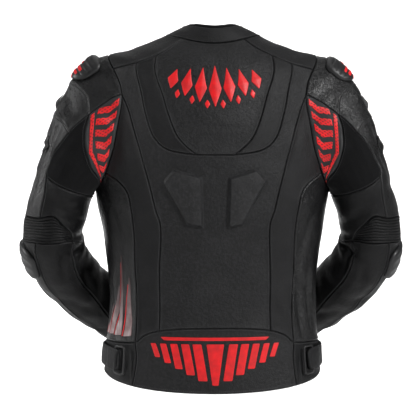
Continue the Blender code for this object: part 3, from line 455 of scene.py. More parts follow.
@dataclass
class ClothSheet:
    """A curved sheet with its folds on each side and its slow unevenness.

    Attributes:
        shape: the bare surface as a function of angle (radians) and distance.
        radius: rough radius, which turns degrees into metres on the flat pattern.
        folds: rows of folds for each side, in that side's own angles.
        waves: rows of angle count, waves a metre, phase and height of the slow unevenness.
        joint_gap: real distance of points from the seams that join this sheet to the others.
        turns: whole turns by which a fold repeats.
    """

    shape: Callable[[Array, Array], Array]
    radius: float
    folds: dict[Side, list] = field(default_factory=dict)
    waves: tuple = ()
    joint_gap: Callable[[Array], Array] | None = None
    turns: tuple = (0,)

    @property
    def scale(self) -> Array:
        """Metres on the flat pattern for a degree and for a metre."""
        return np.array([math.radians(1) * self.radius, 1.0])

    def turned(self, outline: Array) -> bool:
        """Whether a closed outline runs against the clock on the flat pattern."""
        return signed_area(outline * self.scale) > 0

    def bare(self, points: Array) -> Array:
        """Places on the surface without folds."""
        return self.shape(np.radians(points[..., 0]), points[..., 1])

    def relief(self, points: Array, side: Side) -> Array:
        """Height over the bare surface: minus a bell round each fold's line, plus a sum of sines.

        It fades out towards the seams that join two sheets, where both must meet.

        Args:
            points: angles and distances.
            side: the side they are on.

        Returns:
            The height at each point, in metres.
        """
        height = np.zeros(points.shape[:-1])
        if not self.waves:
            return height
        for u0, v0, u1, v1, half, deep in self.folds.get(side, []):
            start, end = np.array([u0, v0]) * self.scale, np.array([u1, v1]) * self.scale
            line = end - start
            for turn in self.turns:
                beside = (points + [turn, 0]) * self.scale - start
                near = (np.abs(beside - line / 2) < np.abs(line) / 2 + 3.2 * half).all(axis=-1)
                if not near.any():
                    continue
                beside = beside[near]
                t = (beside @ line) / (line @ line)
                apart = np.linalg.norm(beside - np.clip(t, 0, 1)[..., None] * line, axis=-1)
                height[near] -= deep * np.exp(-(apart / half)**2) * np.clip(4 * t * (1 - t), 0.15, 1)
        angle = np.radians(points[..., 0]) * side.value
        for count, along, phase, high in self.waves:
            height += high * np.sin(count * angle + along * 2 * math.pi * points[..., 1] + phase)
        return height * rising(self.joint_gap(points) / JOINT_FADE)

    def _slopes(self, points: Array) -> tuple[Array, Array]:
        """How the bare place moves over a step across and a step down."""
        return (self.bare(points + STEP_ACROSS) - self.bare(points - STEP_ACROSS),
                self.bare(points + STEP_DOWN) - self.bare(points - STEP_DOWN))

    def bare_normal(self, points: Array) -> Array:
        """Outward normals of the surface without folds."""
        wide, tall = self._slopes(points)
        return unit(np.cross(tall, wide))

    def frame(self, points: Array, side: Side) -> tuple[Array, Array]:
        """Places and outward normals on the folded sheet, on the wearer's right.

        The normal is the bare one minus the slope of the relief, taken along both directions of the sheet.

        Args:
            points: angles and distances.
            side: the side whose folds are read.

        Returns:
            A place and a normal for each point.
        """
        wide, tall = self._slopes(points)
        bare = unit(np.cross(tall, wide))
        slope_wide = self.relief(points + STEP_ACROSS, side) - self.relief(points - STEP_ACROSS, side)
        slope_tall = self.relief(points + STEP_DOWN, side) - self.relief(points - STEP_DOWN, side)
        dual_wide, dual_tall = np.cross(tall, bare), np.cross(bare, wide)
        dual_wide = dual_wide / (wide * dual_wide).sum(-1, keepdims=True)
        dual_tall = dual_tall / (tall * dual_tall).sum(-1, keepdims=True)
        normal = unit(bare - dual_wide * slope_wide[..., None] - dual_tall * slope_tall[..., None])
        return self.bare(points) + bare * self.relief(points, side)[..., None], normal

    def metric(self, points: Array) -> Array:
        """Real metres for a degree and for a metre of distance, at each point.

        Args:
            points: angles and distances.

        Returns:
            Both factors for each point.
        """
        across, down = np.array([0.5, 0.0]), np.array([0.0, 1e-3])
        wide = np.linalg.norm(self.bare(points + across) - self.bare(points - across), axis=-1)
        tall = np.linalg.norm(self.bare(points + down) - self.bare(points - down), axis=-1) / 2e-3
        return np.stack([wide, np.maximum(tall, 0.3)], axis=-1)


def trunk_joint_gap(points: Array) -> Array:
    """Distance on the flat pattern from the neck seam or the armhole, whichever is nearer.

    Args:
        points: angles and distances on the trunk.

    Returns:
        The distance of each point.
    """
    scale = np.array([math.radians(1) * SHOULDER_RADIUS, 1.0])
    hole = armhole(np.arange(-270, 90, 2 * TURN_STEP)) * scale
    flat = np.abs(points.reshape(-1, 2)) * scale
    apart = np.linalg.norm(flat[:, None] - hole[None], axis=-1).min(axis=1)
    return np.minimum(apart.reshape(points.shape[:-1]), points[..., 1])


def sleeve_joint_gap(points: Array) -> Array:
    """Distance down the sleeve from the armhole."""
    return points[..., 1] + cap_length(points[..., 0])


JOINT_PLACES, JOINT_NORMALS = joint_line()
TRUNK = ClothSheet(trunk_shape, 0.170, {
    Side.RIGHT: TRUNK_FOLDS_BOTH + mirrored(TRUNK_FOLDS_BOTH) + TRUNK_FOLDS,
    Side.LEFT: TRUNK_FOLDS_BOTH + mirrored(TRUNK_FOLDS_BOTH) + mirrored(TRUNK_FOLDS)},
    ((5, 7.0, 0.4, 0.0006), (8, -11.0, 1.9, 0.00045), (11, 4.0, 3.1, 0.0004), (3, 16.0, 5.2, 0.0003)),
    trunk_joint_gap)
SLEEVE = ClothSheet(sleeve_shape, 0.058, {
    Side.RIGHT: SLEEVE_FOLDS_BOTH + SLEEVE_FOLDS_RIGHT,
    Side.LEFT: SLEEVE_FOLDS_BOTH + SLEEVE_FOLDS_LEFT},
    ((2, 13.0, 0.9, 0.0008), (3, -19.0, 2.2, 0.0006), (5, 9.0, 4.0, 0.0004), (1, 31.0, 1.2, 0.0003)),
    sleeve_joint_gap, (-360, 0, 360))
COLLAR = ClothSheet(lambda a, d: collar_shape(a, -d), 0.060, {}, ((6, 10.0, 0.3, 0.0003),),
                    lambda points: -points[..., 1])


# ---------------- seams
def seam(sheet: ClothSheet, rows: list, splits: tuple = ()) -> list | Array:
    """Evenly spaced points along a smooth line, in pieces where other seams meet it.

    Args:
        sheet: the sheet the line is on.
        rows: the line's points, as angle and distance.
        splits: indices of the points at which another seam meets it.

    Returns:
        The line, or a list of its pieces if there are splits.
    """
    rows = np.array(rows, dtype=float)
    knots = np.arange(len(rows), dtype=float)
    ends = [0, *splits, len(rows) - 1]
    pieces = []
    for a, b in zip(ends, ends[1:]):
        fine = smooth(knots, rows, np.linspace(a, b, 60 * (b - a) + 1))
        run = run_along(sheet.bare(fine))
        pieces.append(read_line(np.linspace(0, run[-1], max(1, round(run[-1] / CELL)) + 1), run, fine))
        pieces[-1][0], pieces[-1][-1] = fine[0], fine[-1]
    return pieces if splits else pieces[0]


def spread(sheet: ClothSheet, line: Array, count: int) -> Array:
    """So many points, evenly spaced along a line on a sheet."""
    run = run_along(sheet.bare(line))
    return read_line(np.linspace(0, run[-1], count), run, line)


def mirror(piece: Array) -> Array:
    """The same line on the other side of the trunk or collar."""
    return piece * [-1, 1]


def both_halves(*pieces: Array) -> tuple[Array, ...]:
    """Pieces of the right half of an outline, then the same of the left half, back to the start."""
    return *pieces, *(mirror(piece) for piece in reversed(pieces))


def same(point: Array, other: Array) -> bool:
    """Whether two ends of seams are one point."""
    return bool(np.abs(point - other).max() < SAME_POINT)


def loop(*pieces: Array) -> Array:
    """Joins pieces of seam end to end into one closed outline, turning each as it needs.

    Args:
        pieces: the pieces of seam, in order.

    Returns:
        The outline, without its first point again at its end.
    """
    first, second = pieces[:2]
    starts_joined, ends_joined = (same(end, second[0]) or same(end, second[-1]) for end in first[[0, -1]])
    joined = list(first[::-1] if starts_joined and not ends_joined else first)
    for piece in pieces[1:]:
        if not same(piece[0], joined[-1]):
            piece = piece[::-1]
        if not same(piece[0], joined[-1]):
            raise ValueError(f"a seam does not meet the next one: {joined[-1]} and {piece[0]}, {piece[-1]}")
        joined.extend(piece[1:])
    return np.array(joined[:-1])


def across(sheet: ClothSheet, along: float, *angles: float) -> list | Array:
    """A seam straight round the sheet at one distance, in pieces between the angles."""
    return seam(sheet, [(angle, along) for angle in angles], splits=tuple(range(1, len(angles) - 1)))


def zip_angle(along: float) -> float:
    """Angle on the trunk at which the front edge lies beside the zip."""
    ring = smooth(TRUNK_RINGS[:, 0], TRUNK_RINGS[:, 1:], np.asarray(along, dtype=float))
    return float(180 - np.degrees(ZIP_HALF * (1 - ring[3]) / (ring[0] * (1 + 3 * ring[3]))))


HOLE_TOP, SLEEVE_TOP = on_armhole(60, 120)
HOLE_BLADE, SLEEVE_BLADE = on_armhole(30, 60)
HOLE_BACK, _ = on_armhole(-50, 30)
HOLE_PIT, _ = on_armhole(-120, -50)
HOLE_FRONT, _ = on_armhole(120, 240)
_, SLEEVE_BACK = on_armhole(-70, 30)
_, SLEEVE_PIT = on_armhole(-110, -70)
_, SLEEVE_FRONT = on_armhole(150, 250)
_, SLEEVE_HEAD_FRONT = on_armhole(120, 150)

NECK_YOKE_BACK, NECK_YOKE_FRONT = 38, 140
NECK_ZIP = zip_angle(0.0)
NECK_BACK = across(TRUNK, 0.0, -NECK_YOKE_BACK, NECK_YOKE_BACK)
NECK_SIDE, NECK_FRONT = across(TRUNK, 0.0, NECK_YOKE_BACK, NECK_YOKE_FRONT, NECK_ZIP)
YOKE_NECK, YOKE_STRIP, YOKE_SHOULDER = seam(TRUNK, [
    (NECK_YOKE_BACK, 0.0), (42.0, 0.030), (45.5, 0.067), (51.0, 0.104), (58.0, 0.124), HOLE_BLADE[-1]],
    splits=(2, 3))
FRONT_YOKE = seam(TRUNK, [HOLE_TOP[-1], (127, 0.098), (136, 0.050), (NECK_YOKE_FRONT, 0.0)])
OUTER_U, U_BOTTOM = seam(TRUNK, [
    YOKE_STRIP[-1], (42.5, 0.156), (36.5, 0.200), (30.0, 0.243), (22.0, 0.266), (9.0, 0.273), (0.0, 0.273)],
    splits=(5,))
INNER_U = seam(TRUNK, [
    YOKE_STRIP[0], (37.5, 0.105), (30.0, 0.146), (23.5, 0.196), (17.5, 0.238), (9.0, 0.273)])
PRINCESS = seam(TRUNK, [
    HOLE_BLADE[0], (47.0, 0.205), (38.5, 0.262), (31.5, 0.335), (28.0, 0.387), (26.0, 0.416),
    (28.0, 0.482), (28.5, 0.540), (28.5, 0.5880)])
SIDE_SEAM = seam(TRUNK, [
    HOLE_BACK[0], (51.0, 0.3370), (44.5, 0.357), (42.5, 0.387), (42.5, 0.425), (44.0, 0.482),
    (43.5, 0.545), (44.0, 0.6070)])
FRONT_SEAM = seam(TRUNK, [HOLE_FRONT[-1], (115, 0.375), (116, 0.450), (116, 0.530), (118, BAND_TOP)])
BAND_BACK, BAND_SIDE, BAND_FLANK, BAND_FRONT = seam(TRUNK, [
    (0.0, 0.583), (15.0, 0.584), PRINCESS[-1], (38.0, 0.5965), SIDE_SEAM[-1], (60.0, 0.610), (90.0, 0.612),
    FRONT_SEAM[-1], (150.0, 0.608), (zip_angle(0.606), 0.606)], splits=(2, 4, 7))
LUMBAR_EDGE = seam(TRUNK, [SIDE_SEAM[-1], (42.5, 0.632), (44.5, HEM)])
HEM_BACK, HEM_SIDE = across(TRUNK, HEM, 0, 44.5, zip_angle(HEM))
FRONT_EDGE = seam(TRUNK, [(zip_angle(d), d) for d in np.linspace(0, 0.606, 7)])
BAND_EDGE = seam(TRUNK, [(zip_angle(d), d) for d in (0.606, 0.635, HEM)])

ACCENT_TOP = seam(SLEEVE, [SLEEVE_BLADE[0], (30, -0.205), (30, -0.180), (31, -0.157)])
HEAD_EDGE, HEAD_EDGE_FRONT = seam(SLEEVE, [
    (31, -0.157), (50, -0.183), (75, -0.186), (100, -0.182), (125, -0.186), SLEEVE_FRONT[0]], splits=(4,))
ACCENT_EDGE = seam(SLEEVE, [
    (31, -0.157), (21, -0.128), (7, -0.102), (-9, -0.080), (-27, -0.060), (-50, -0.044), SLEEVE_BACK[0]])
OUTER_SEAM_TOP, OUTER_SEAM_MID, OUTER_SEAM_LOW = seam(SLEEVE, [
    (31, -0.157), (36, -0.110), (40, -0.070), (42, -0.035), (36, -0.019), (30, 0.005), (27, 0.030),
    (26, 0.0525)], splits=(1, 4))
STRETCH_LOW = seam(SLEEVE, [(36, -0.019), (10, -0.010), (-20, -0.005), (-66, -0.002), (-110, 0.000)])
OUTER_JOINT = seam(SLEEVE, [(36, -0.110), (56, -0.119), (95, -0.121), (123, -0.118)])
FRONT_LINE_TOP, FRONT_LINE_LOW = seam(SLEEVE, [
    (125, -0.186), (123, -0.118), (121, -0.040), (120, 0.040), (120, 0.101)], splits=(1,))
INNER_LINE_TOP, INNER_LINE_LOW = seam(
    SLEEVE, [SLEEVE_PIT[0], (-110, 0.000), (-110, 0.060), (-110, 0.112)], splits=(1,))
RIB_TOP = seam(SLEEVE, [(75, 0.062), (26, 0.0525), (0, 0.046), (-25, 0.058)], splits=(1,))
RIB_SIDE = seam(SLEEVE, [(75, 0.062), (75, 0.080), (75, 0.098)])
RIB_END = seam(SLEEVE, [(-25, 0.058), (-40, 0.069), (-50, 0.086)])
ELBOW_INNER, RIB_LOW_BACK, RIB_LOW_OUTER, ELBOW_OUTER = seam(SLEEVE, [
    (-110, 0.112), (-80, 0.103), (-50, 0.086), (-20, 0.084), (26, 0.089), (50, 0.094), (75, 0.098),
    (98, 0.101), (120, 0.101)], splits=(2, 4, 6))
ELBOW_FRONT = seam(SLEEVE, [(120, 0.101), (180, 0.088), (250, 0.112)])
FOREARM_SEAM = seam(SLEEVE, [(26, 0.089), (26, 0.160), (24, 0.260), (24, CUFF_TOP)])
FOREARM_INNER = seam(SLEEVE, [(-50, 0.086), (-38, 0.150), (-34, 0.230), (-20, 0.310), (-15, CUFF_TOP)])
FOREARM_FRONT = seam(SLEEVE, [(120, 0.101), (122, 0.200), (125, 0.300), (125, CUFF_TOP)])
CUFF_BACK, CUFF_OUTER, CUFF_INNER = across(SLEEVE, CUFF_TOP, -15, 24, 125, 345)
CUFF_EDGE = seam(SLEEVE, [(-15, CUFF_TOP), (-15, CUFF_END)])
CUFF_HEM = across(SLEEVE, CUFF_END, -15, 345)
FULL_TURN = np.array([360.0, 0.0])

COLLAR_TOP = across(COLLAR, -COLLAR_HEIGHT, -NECK_ZIP, NECK_ZIP)
COLLAR_RIM = across(COLLAR, -COLLAR_HEIGHT - COLLAR_EDGE, -NECK_ZIP, NECK_ZIP)
COLLAR_RISE = seam(COLLAR, [(NECK_ZIP, 0.0), (NECK_ZIP, -COLLAR_HEIGHT)])
COLLAR_STEP = seam(COLLAR, [(NECK_ZIP, -COLLAR_HEIGHT), (NECK_ZIP, -COLLAR_HEIGHT - COLLAR_EDGE)])
NECK_RING = (mirror(NECK_FRONT)[::-1], mirror(NECK_SIDE)[::-1], NECK_BACK, NECK_SIDE, NECK_FRONT)


# ---------------- laying out a panel
def inside(points: Array, outline: Array) -> Array:
    """Which points lie in a closed outline: those with an odd count of edges to their right.

    Args:
        points: flat points.
        outline: a closed flat outline.

    Returns:
        True for each point that lies in it.
    """
    x, y = points[:, None, 0], points[:, None, 1]
    a, b = outline, np.roll(outline, -1, axis=0)
    spans = (a[:, 1] > y) != (b[:, 1] > y)
    slope = np.where(a[:, 1] == b[:, 1], 1.0, b[:, 1] - a[:, 1])
    crossing = a[:, 0] + (y - a[:, 1]) * (b[:, 0] - a[:, 0]) / slope
    return (spans & (x < crossing)).sum(axis=1) % 2 == 1


def edge_distance(points: Array, outline: Array, metric: Array) -> Array:
    """Real distance of each point from an outline: the shortest one to any of its straight edges.

    Args:
        points: angles and distances.
        outline: the closed outline, as angles and distances.
        metric: metres for a degree and for a metre, at each point.

    Returns:
        The distance of each point.
    """
    a = (outline[None] - points[:, None]) * metric[:, None]
    line = np.roll(a, -1, axis=1) - a
    t = np.clip(-(a * line).sum(-1) / np.maximum((line**2).sum(-1), 1e-18), 0, 1)
    return np.linalg.norm(a + t[..., None] * line, axis=-1).min(axis=1)


@dataclass
class Layout:
    """Points and triangles that fill an outline on a sheet.

    Attributes:
        points: angle and distance of each point; the outline's own come first.
        triangles: three indices for each triangle, turned outwards.
        ring: how many points the outline has.
        edge: real distance of each point from the outline.
        turned: whether the outline runs against the clock.
    """

    points: Array
    triangles: Array
    ring: int
    edge: Array
    turned: bool

    @property
    def border(self) -> Array:
        """Indices of the outline's points, with the clock as seen from outside."""
        return np.arange(self.ring)[::1 if self.turned else -1]


def inset(sheet: ClothSheet, outline: Array, distance: float) -> Array:
    """The outline moved into the panel, square to both edges that meet at each point.

    Args:
        sheet: the sheet it is on.
        outline: its closed outline.
        distance: how far it is moved, in metres.

    Returns:
        The moved outline, point for point.
    """
    metric = sheet.metric(outline)
    before = unit((outline - np.roll(outline, 1, axis=0)) * metric)
    after = unit((np.roll(outline, -1, axis=0) - outline) * metric)
    sign = 1.0 if sheet.turned(outline) else -1.0
    first, second = (np.stack([-v[:, 1], v[:, 0]], axis=1) * sign for v in (before, after))
    both = first + second
    spread = np.maximum((both * first).sum(-1, keepdims=True), 0.4)
    return outline + both / spread * distance / metric


def lay_out(sheet: ClothSheet, outline: Array, cell: float = CELL, rows: tuple = EDGE_ROWS) -> Layout:
    """Fills an outline with rows of points beside its edge and a staggered grid within them.

    Args:
        sheet: the sheet it is on.
        outline: its closed outline.
        cell: spacing of the grid.
        rows: distances of the rows from the edge.

    Returns:
        The points with their triangles.
    """
    flat = outline * sheet.scale
    turned = sheet.turned(outline)
    sets = []
    for distance in rows:
        line = inset(sheet, outline, distance)
        near = edge_distance(line, outline, sheet.metric(line))
        sets.append(line[(near > 0.93 * distance) & inside(line * sheet.scale, flat)])
    low, high = flat.min(axis=0), flat.max(axis=0)
    grid = np.stack(np.meshgrid(np.arange(low[0] - cell, high[0] + cell, cell),
                                np.arange(low[1] + cell / 3, high[1], cell * 0.866)), axis=-1)
    grid[1::2, :, 0] += cell / 2
    grid = grid.reshape(-1, 2)
    grid = grid[inside(grid, flat)] / sheet.scale
    if len(grid):
        grid = grid[edge_distance(grid, outline, sheet.metric(grid)) > rows[-1] + 0.5 * cell]
    points = np.concatenate([outline, *sets, grid])
    order = list(range(len(outline)))
    if not turned:
        order.reverse()
    found = delaunay_2d_cdt([Vector(p) for p in (points * sheet.scale).tolist()], [], [order], 1, 1e-7)
    source = np.array([origins[0] for origins in found[3]])
    triangles = source[np.array(found[2])][:, ::-1]
    within = points[len(outline):]
    edge = np.concatenate([np.zeros(len(outline)), edge_distance(within, outline, sheet.metric(within))])
    return Layout(points, triangles, len(outline), edge, turned)


def seam_roll(edge: Array) -> Array:
    """Height beside a seam: minus a bell at the edge, plus a small bell where the leather puffs up."""
    return (SEAM_PUFF * np.exp(-((edge - PUFF_AT) / PUFF_WIDTH)**2)
            - SEAM_SINK * np.exp(-(edge / SEAM_ROUND)**2))


# ---------------- meshes
def make_object(name: str, points: Array, faces: list | Array, material: Material,
                uv: Array | None = None, edge: Array | None = None) -> Piece:
    """A mesh object at the origin.

    Args:
        name: the piece's name.
        points: its vertices, in metres.
        faces: tuples of indices, or an array of triangles or quads.
        material: its finish.
        uv: pattern coordinates of each vertex, in metres.
        edge: distance of each vertex from its panel's edge.

    Returns:
        The linked object.
    """
    mesh = bpy.data.meshes.new(name)
    mesh.from_pydata(points.tolist(), [], faces.tolist() if isinstance(faces, Array) else faces)
    mesh.materials.append(material)
    if uv is not None:
        corner = np.zeros(len(mesh.loops), dtype=np.int64)
        mesh.loops.foreach_get("vertex_index", corner)
        mesh.uv_layers.new(name="pattern").data.foreach_set("uv", uv[corner].astype(np.float32).ravel())
    if edge is not None:
        mesh.attributes.new("edge", "FLOAT", "POINT").data.foreach_set("value", edge.astype(np.float32))
    mesh.shade_smooth()
    mesh.update()
    piece = bpy.data.objects.new(name, mesh)
    bpy.context.scene.collection.objects.link(piece)
    return piece


def attach(piece: Piece, node: str = "", body: str = "root") -> None:
    """Puts a piece on its body and hides the node that it stands for.

    Args:
        piece: the piece.
        node: the node that it stands for, if there is one.
        body: the body that it moves with.
    """
    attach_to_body(piece, body)
    if node:
        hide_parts(node)
    LOG.info("%s: %d faces", piece.name, len(piece.data.polygons))


def facing(faces: Array, side: Side) -> Array:
    """Faces turned over on the left, where the mirror would turn them inside out."""
    return faces if side is Side.RIGHT else faces[:, ::-1]


def thick(faces: Array, ring: Array, count: int) -> Array:
    """Triangles of a closed sheet: the outer layer, the inner one turned over, and the wall between them.

    Args:
        faces: triangles of the outer layer.
        ring: indices round its edge, with the clock as seen from outside.
        count: how many points a layer has; the inner one's come after the outer one's.

    Returns:
        All the triangles.
    """
    after = np.roll(ring, -1)
    walls = np.concatenate([np.stack([ring, after, ring + count], axis=1),
                            np.stack([after, after + count, ring + count], axis=1)])
    return np.concatenate([faces, faces[:, ::-1] + count, walls])


def cut_size(sheet: ClothSheet, points: Array, area: float = 0.0) -> tuple[tuple[float, float], float]:
    """Size of a flat cut.

    Args:
        sheet: the sheet that it is laid on.
        points: its points, or its outline alone.
        area: its area, if it isn't to be worked out from the outline.

    Returns:
        Its cross and longest extents, and its area.
    """
    flat = points * sheet.metric(points).mean(axis=0)
    flat = flat - flat.mean(axis=0)
    area = area or abs(signed_area(flat))
    width, length = sorted(np.ptp(flat @ np.linalg.eigh(flat.T @ flat)[1], axis=0).tolist())
    width = float(np.clip(width, area / length, 3.0 * area / length))
    return (round(width + 0.0005, 3), round(length + 0.0005, 3)), round(area, 6)


@dataclass
class Panel:
    """One panel of cloth.

    Attributes:
        name: the name of its solid, without its side.
        sheet: the sheet that it is part of.
        outline: its closed outline.
        finish: its material.
        slot: its material slot in the record; not used.
        paired: whether there is one on each side, or one across the middle.
    """

    name: str
    sheet: ClothSheet
    outline: Array
    finish: Material
    slot: str
    paired: bool = True

    def extra(self, layout: Layout, side: Side) -> Array:
        """Height over the folded sheet at each point."""
        return seam_roll(layout.edge)

    def build(self) -> None:
        """Makes the panel, or its two sides: the layout on the folded sheet, with a wall down its edge."""
        layout = lay_out(self.sheet, inset(self.sheet, self.outline, SEAM_HALF_GAP))
        for side in BOTH if self.paired else (Side.RIGHT,):
            node = f"{self.name}_{side.suffix}" if self.paired else self.name
            place, own = self.sheet.frame(layout.points, side)
            apart, shared = nearest_joint(place)
            share = 1 - rising(apart / JOINT_SHARE)[:, None]
            normal = unit(own * (1 - share) + shared * share)
            depth = LEATHER / np.clip((normal * own).sum(axis=1, keepdims=True), 0.5, 1)
            place = place + normal * self.extra(layout, side)[:, None]
            faces = facing(thick(layout.triangles, layout.border, len(place)), side)
            points = np.concatenate([place, place - normal * depth]) * side.flip
            piece = make_object(node + "_cloth", points, faces, self.finish,
                                uv=np.tile(layout.points * self.sheet.scale, (2, 1)),
                                edge=np.tile(layout.edge, 2))
            corners = place[layout.triangles]
            cloth = np.cross(corners[:, 1] - corners[:, 0], corners[:, 2] - corners[:, 0])
            flat, area = cut_size(self.sheet, layout.points, float(np.linalg.norm(cloth, axis=1).sum() / 2))
            attach(piece, node)


# ---------------- finishes
def shade(colour: tuple, factor: float) -> tuple:
    """A colour made lighter or darker."""
    return tuple(part * factor for part in colour)


class Graph:
    """A short way to add nodes to a material, on the piece's own coordinates in metres."""

    def __init__(self, name: str) -> None:
        """Makes the material with its shader and output.

        Args:
            name: the finish's name.
        """
        self.material = bpy.data.materials.new(name)
        self.material.use_nodes = True
        self.tree = self.material.node_tree
        self.shader = self.tree.nodes["Principled BSDF"]
        self.place = self.add("ShaderNodeTexCoord").outputs["Object"]

    def add(self, kind: str, **values: object) -> bpy.types.Node:
        """Adds a node.

        Args:
            kind: its type.
            values: one named in_X sets the input X or links to it, others are the node's own.

        Returns:
            The node.
        """
        node = self.tree.nodes.new(kind)
        for key, value in values.items():
            if not key.startswith("in_"):
                setattr(node, key, value)
        for key, value in values.items():
            if key.startswith("in_"):
                name = key[3:]
                socket = node.inputs[int(name)] if name.isdigit() else node.inputs[name.replace("_", " ")]
                if isinstance(value, Socket):
                    self.tree.links.new(value, socket)
                else:
                    socket.default_value = value
        return node

    def maths(self, operation: str, first: Socket | float, second: Socket | float = 0.0) -> Socket:
        """The result of a Math node."""
        return self.add("ShaderNodeMath", operation=operation, in_0=first, in_1=second).outputs[0]

    def noise(self, scale: float, detail: float, roughness: float = 0.5,
              place: Socket | None = None) -> Socket:
        """Smooth noise from 0 to 1, of so many lumps a metre.

        Args:
            scale: lumps a metre.
            detail: octaves added to it.
            roughness: strength of each over the last.
            place: coordinates, if they aren't the piece's own.

        Returns:
            The noise.
        """
        return self.add("ShaderNodeTexNoise", in_Vector=self.place if place is None else place,
                        in_Scale=scale, in_Detail=detail, in_Roughness=roughness).outputs[0]

    def pebbles(self, scale: float) -> Socket:
        """Rounded grains with narrow grooves between them, so many a metre."""
        cells = self.add("ShaderNodeTexVoronoi", feature="DISTANCE_TO_EDGE", in_Vector=self.place,
                         in_Scale=scale).outputs["Distance"]
        return self.ramp(cells, 0.0, 0.22, 0.0, 1.0)

    def ripples(self, operation: str, *pitches: float) -> list[Socket]:
        """A SINE or COSINE of these pitches across and along the pattern.

        Args:
            operation: SINE or COSINE.
            pitches: the pitch across, then the one along, in metres.

        Returns:
            Both waves.
        """
        pattern = self.add("ShaderNodeUVMap", uv_map="pattern").outputs[0]
        split = self.add("ShaderNodeSeparateXYZ", in_Vector=pattern)
        return [self.maths(operation, self.maths("MULTIPLY", split.outputs[k], 2 * math.pi / pitch))
                for k, pitch in enumerate(pitches)]

    def ramp(self, value: Socket, low: float, high: float, out_low: float, out_high: float) -> Socket:
        """A clamped linear ramp from one range to another."""
        return self.add("ShaderNodeMapRange", in_Value=value, in_From_Min=low, in_From_Max=high,
                        in_To_Min=out_low, in_To_Max=out_high).outputs[0]

    def blend(self, share: Socket, first: Socket | tuple, second: Socket | tuple) -> Socket:
        """A colour between two others.

        Args:
            share: how much of the second.
            first: the colour at share 0, or a link to one.
            second: the colour at share 1, or a link to one.

        Returns:
            The blended colour.
        """
        node = self.add("ShaderNodeMix", data_type="RGBA")
        self.tree.links.new(share, node.inputs["Factor"])
        for socket, value in ((node.inputs[6], first), (node.inputs[7], second)):
            if isinstance(value, Socket):
                self.tree.links.new(value, socket)
            else:
                socket.default_value = (*value, 1.0)
        return node.outputs[2]

    def bump(self, height: Socket, distance: float, strength: float, under: Socket | None = None) -> Socket:
        """A bump of a height in metres, over another.

        Args:
            height: the height to bump by, from 0 to 1.
            distance: metres for a height of 1.
            strength: the share of it that shows.
            under: the normal to start from, if there is one.

        Returns:
            The bumped normal.
        """
        node = self.add("ShaderNodeBump", in_Height=height, in_Distance=distance, in_Strength=strength)
        if under is not None:
            self.tree.links.new(under, node.inputs["Normal"])
        return node.outputs[0]

    def link(self, **sockets: Socket | float) -> None:
        """Links or sets inputs of the shader.

        Args:
            sockets: a value or a link for each named input.
        """
        for key, value in sockets.items():
            socket = self.shader.inputs[key.replace("_", " ")]
            if isinstance(value, Socket):
                self.tree.links.new(value, socket)
            else:
                socket.default_value = value


@dataclass(frozen=True)
class LeatherFinish:
    """Dyed cowhide: pebbled grain, soft dents, uneven sheen, edges lighter beside the seams from use and as
    a painted highlight, painted shade down each seam.
    """

    name: str
    colour: tuple = (0.0055, 0.0055, 0.0060)
    # colour of the band beside each seam: lighter from use, and a painted highlight on the puff there
    worn: tuple = (0.026, 0.026, 0.027)
    rough_low: float = 0.36
    rough_high: float = 0.56
    pebbles: float = 620.0      # grains a metre
    grain_depth: float = 0.00030
    coarse_depth: float = 0.0007
    dent_depth: float = 0.0020
    level: float = 0.25         # how strongly it reflects
    speckle_and_glints: float = 0.25       # how far its coarse grain lightens it in specks: its own mottling, and painted glints off the grain
    # painted shade: the colour down the middle of each seam
    painted_seam_shade: tuple = (0.003, 0.003, 0.003)

    def build(self) -> Material:
        """Makes the material.

        Returns:
            The material.
        """
        g = Graph(self.name)
        pebble = g.pebbles(self.pebbles)
        coarse, dents, cloud = g.noise(190.0, 4.0, 0.6), g.noise(34.0, 3.0, 0.55), g.noise(9.0, 2.0)
        edge = g.add("ShaderNodeAttribute", attribute_name="edge").outputs["Fac"]
        # the band beside each seam that is made lighter: use, and a painted highlight on the puff beside
        # the seam
        used_and_lit_band = g.ramp(edge, 0.0012, 0.0050, 1.0, 0.0)
        patchy = g.ramp(coarse, 0.35, 0.70, 0.15, 0.85)
        used_and_lit_share = g.maths("MULTIPLY", used_and_lit_band, patchy)
        # painted shade down the middle of each seam
        groove = g.ramp(edge, 0.0, 0.0010, 0.25, 1.0)
        dark, light_tone = shade(self.colour, 0.85), shade(self.colour, 1.25)
        tone = g.blend(g.ramp(dents, 0.36, 0.64, 0.0, 1.0), dark, light_tone)
        # lighter specks of the coarse grain: its own mottling, and painted glints off the grain
        tone = g.blend(g.ramp(coarse, 0.47, 0.62, 0.0, self.speckle_and_glints), tone, shade(self.colour, 3.0))
        # lightens the band beside each seam: use, and a painted highlight
        tone = g.blend(g.maths("MULTIPLY", used_and_lit_share, 0.55), tone, self.worn)
        # painted shade down each seam
        tone = g.blend(groove, self.painted_seam_shade, tone)
        mixed = g.maths("ADD", g.maths("MULTIPLY", cloud, 0.6), g.maths("MULTIPLY", coarse, 0.4))
        rough = g.ramp(mixed, 0.35, 0.65, self.rough_low, self.rough_high)
        rough = g.maths("ADD", rough, g.maths("MULTIPLY", g.maths("SUBTRACT", 1.0, pebble), 0.12))
        normal = g.bump(dents, self.dent_depth, 0.6)
        normal = g.bump(coarse, self.coarse_depth, 0.7, normal)
        normal = g.bump(pebble, self.grain_depth, 0.55, normal)
        g.link(Base_Color=tone, Roughness=rough, Normal=normal, Specular_IOR_Level=self.level)
        return g.material


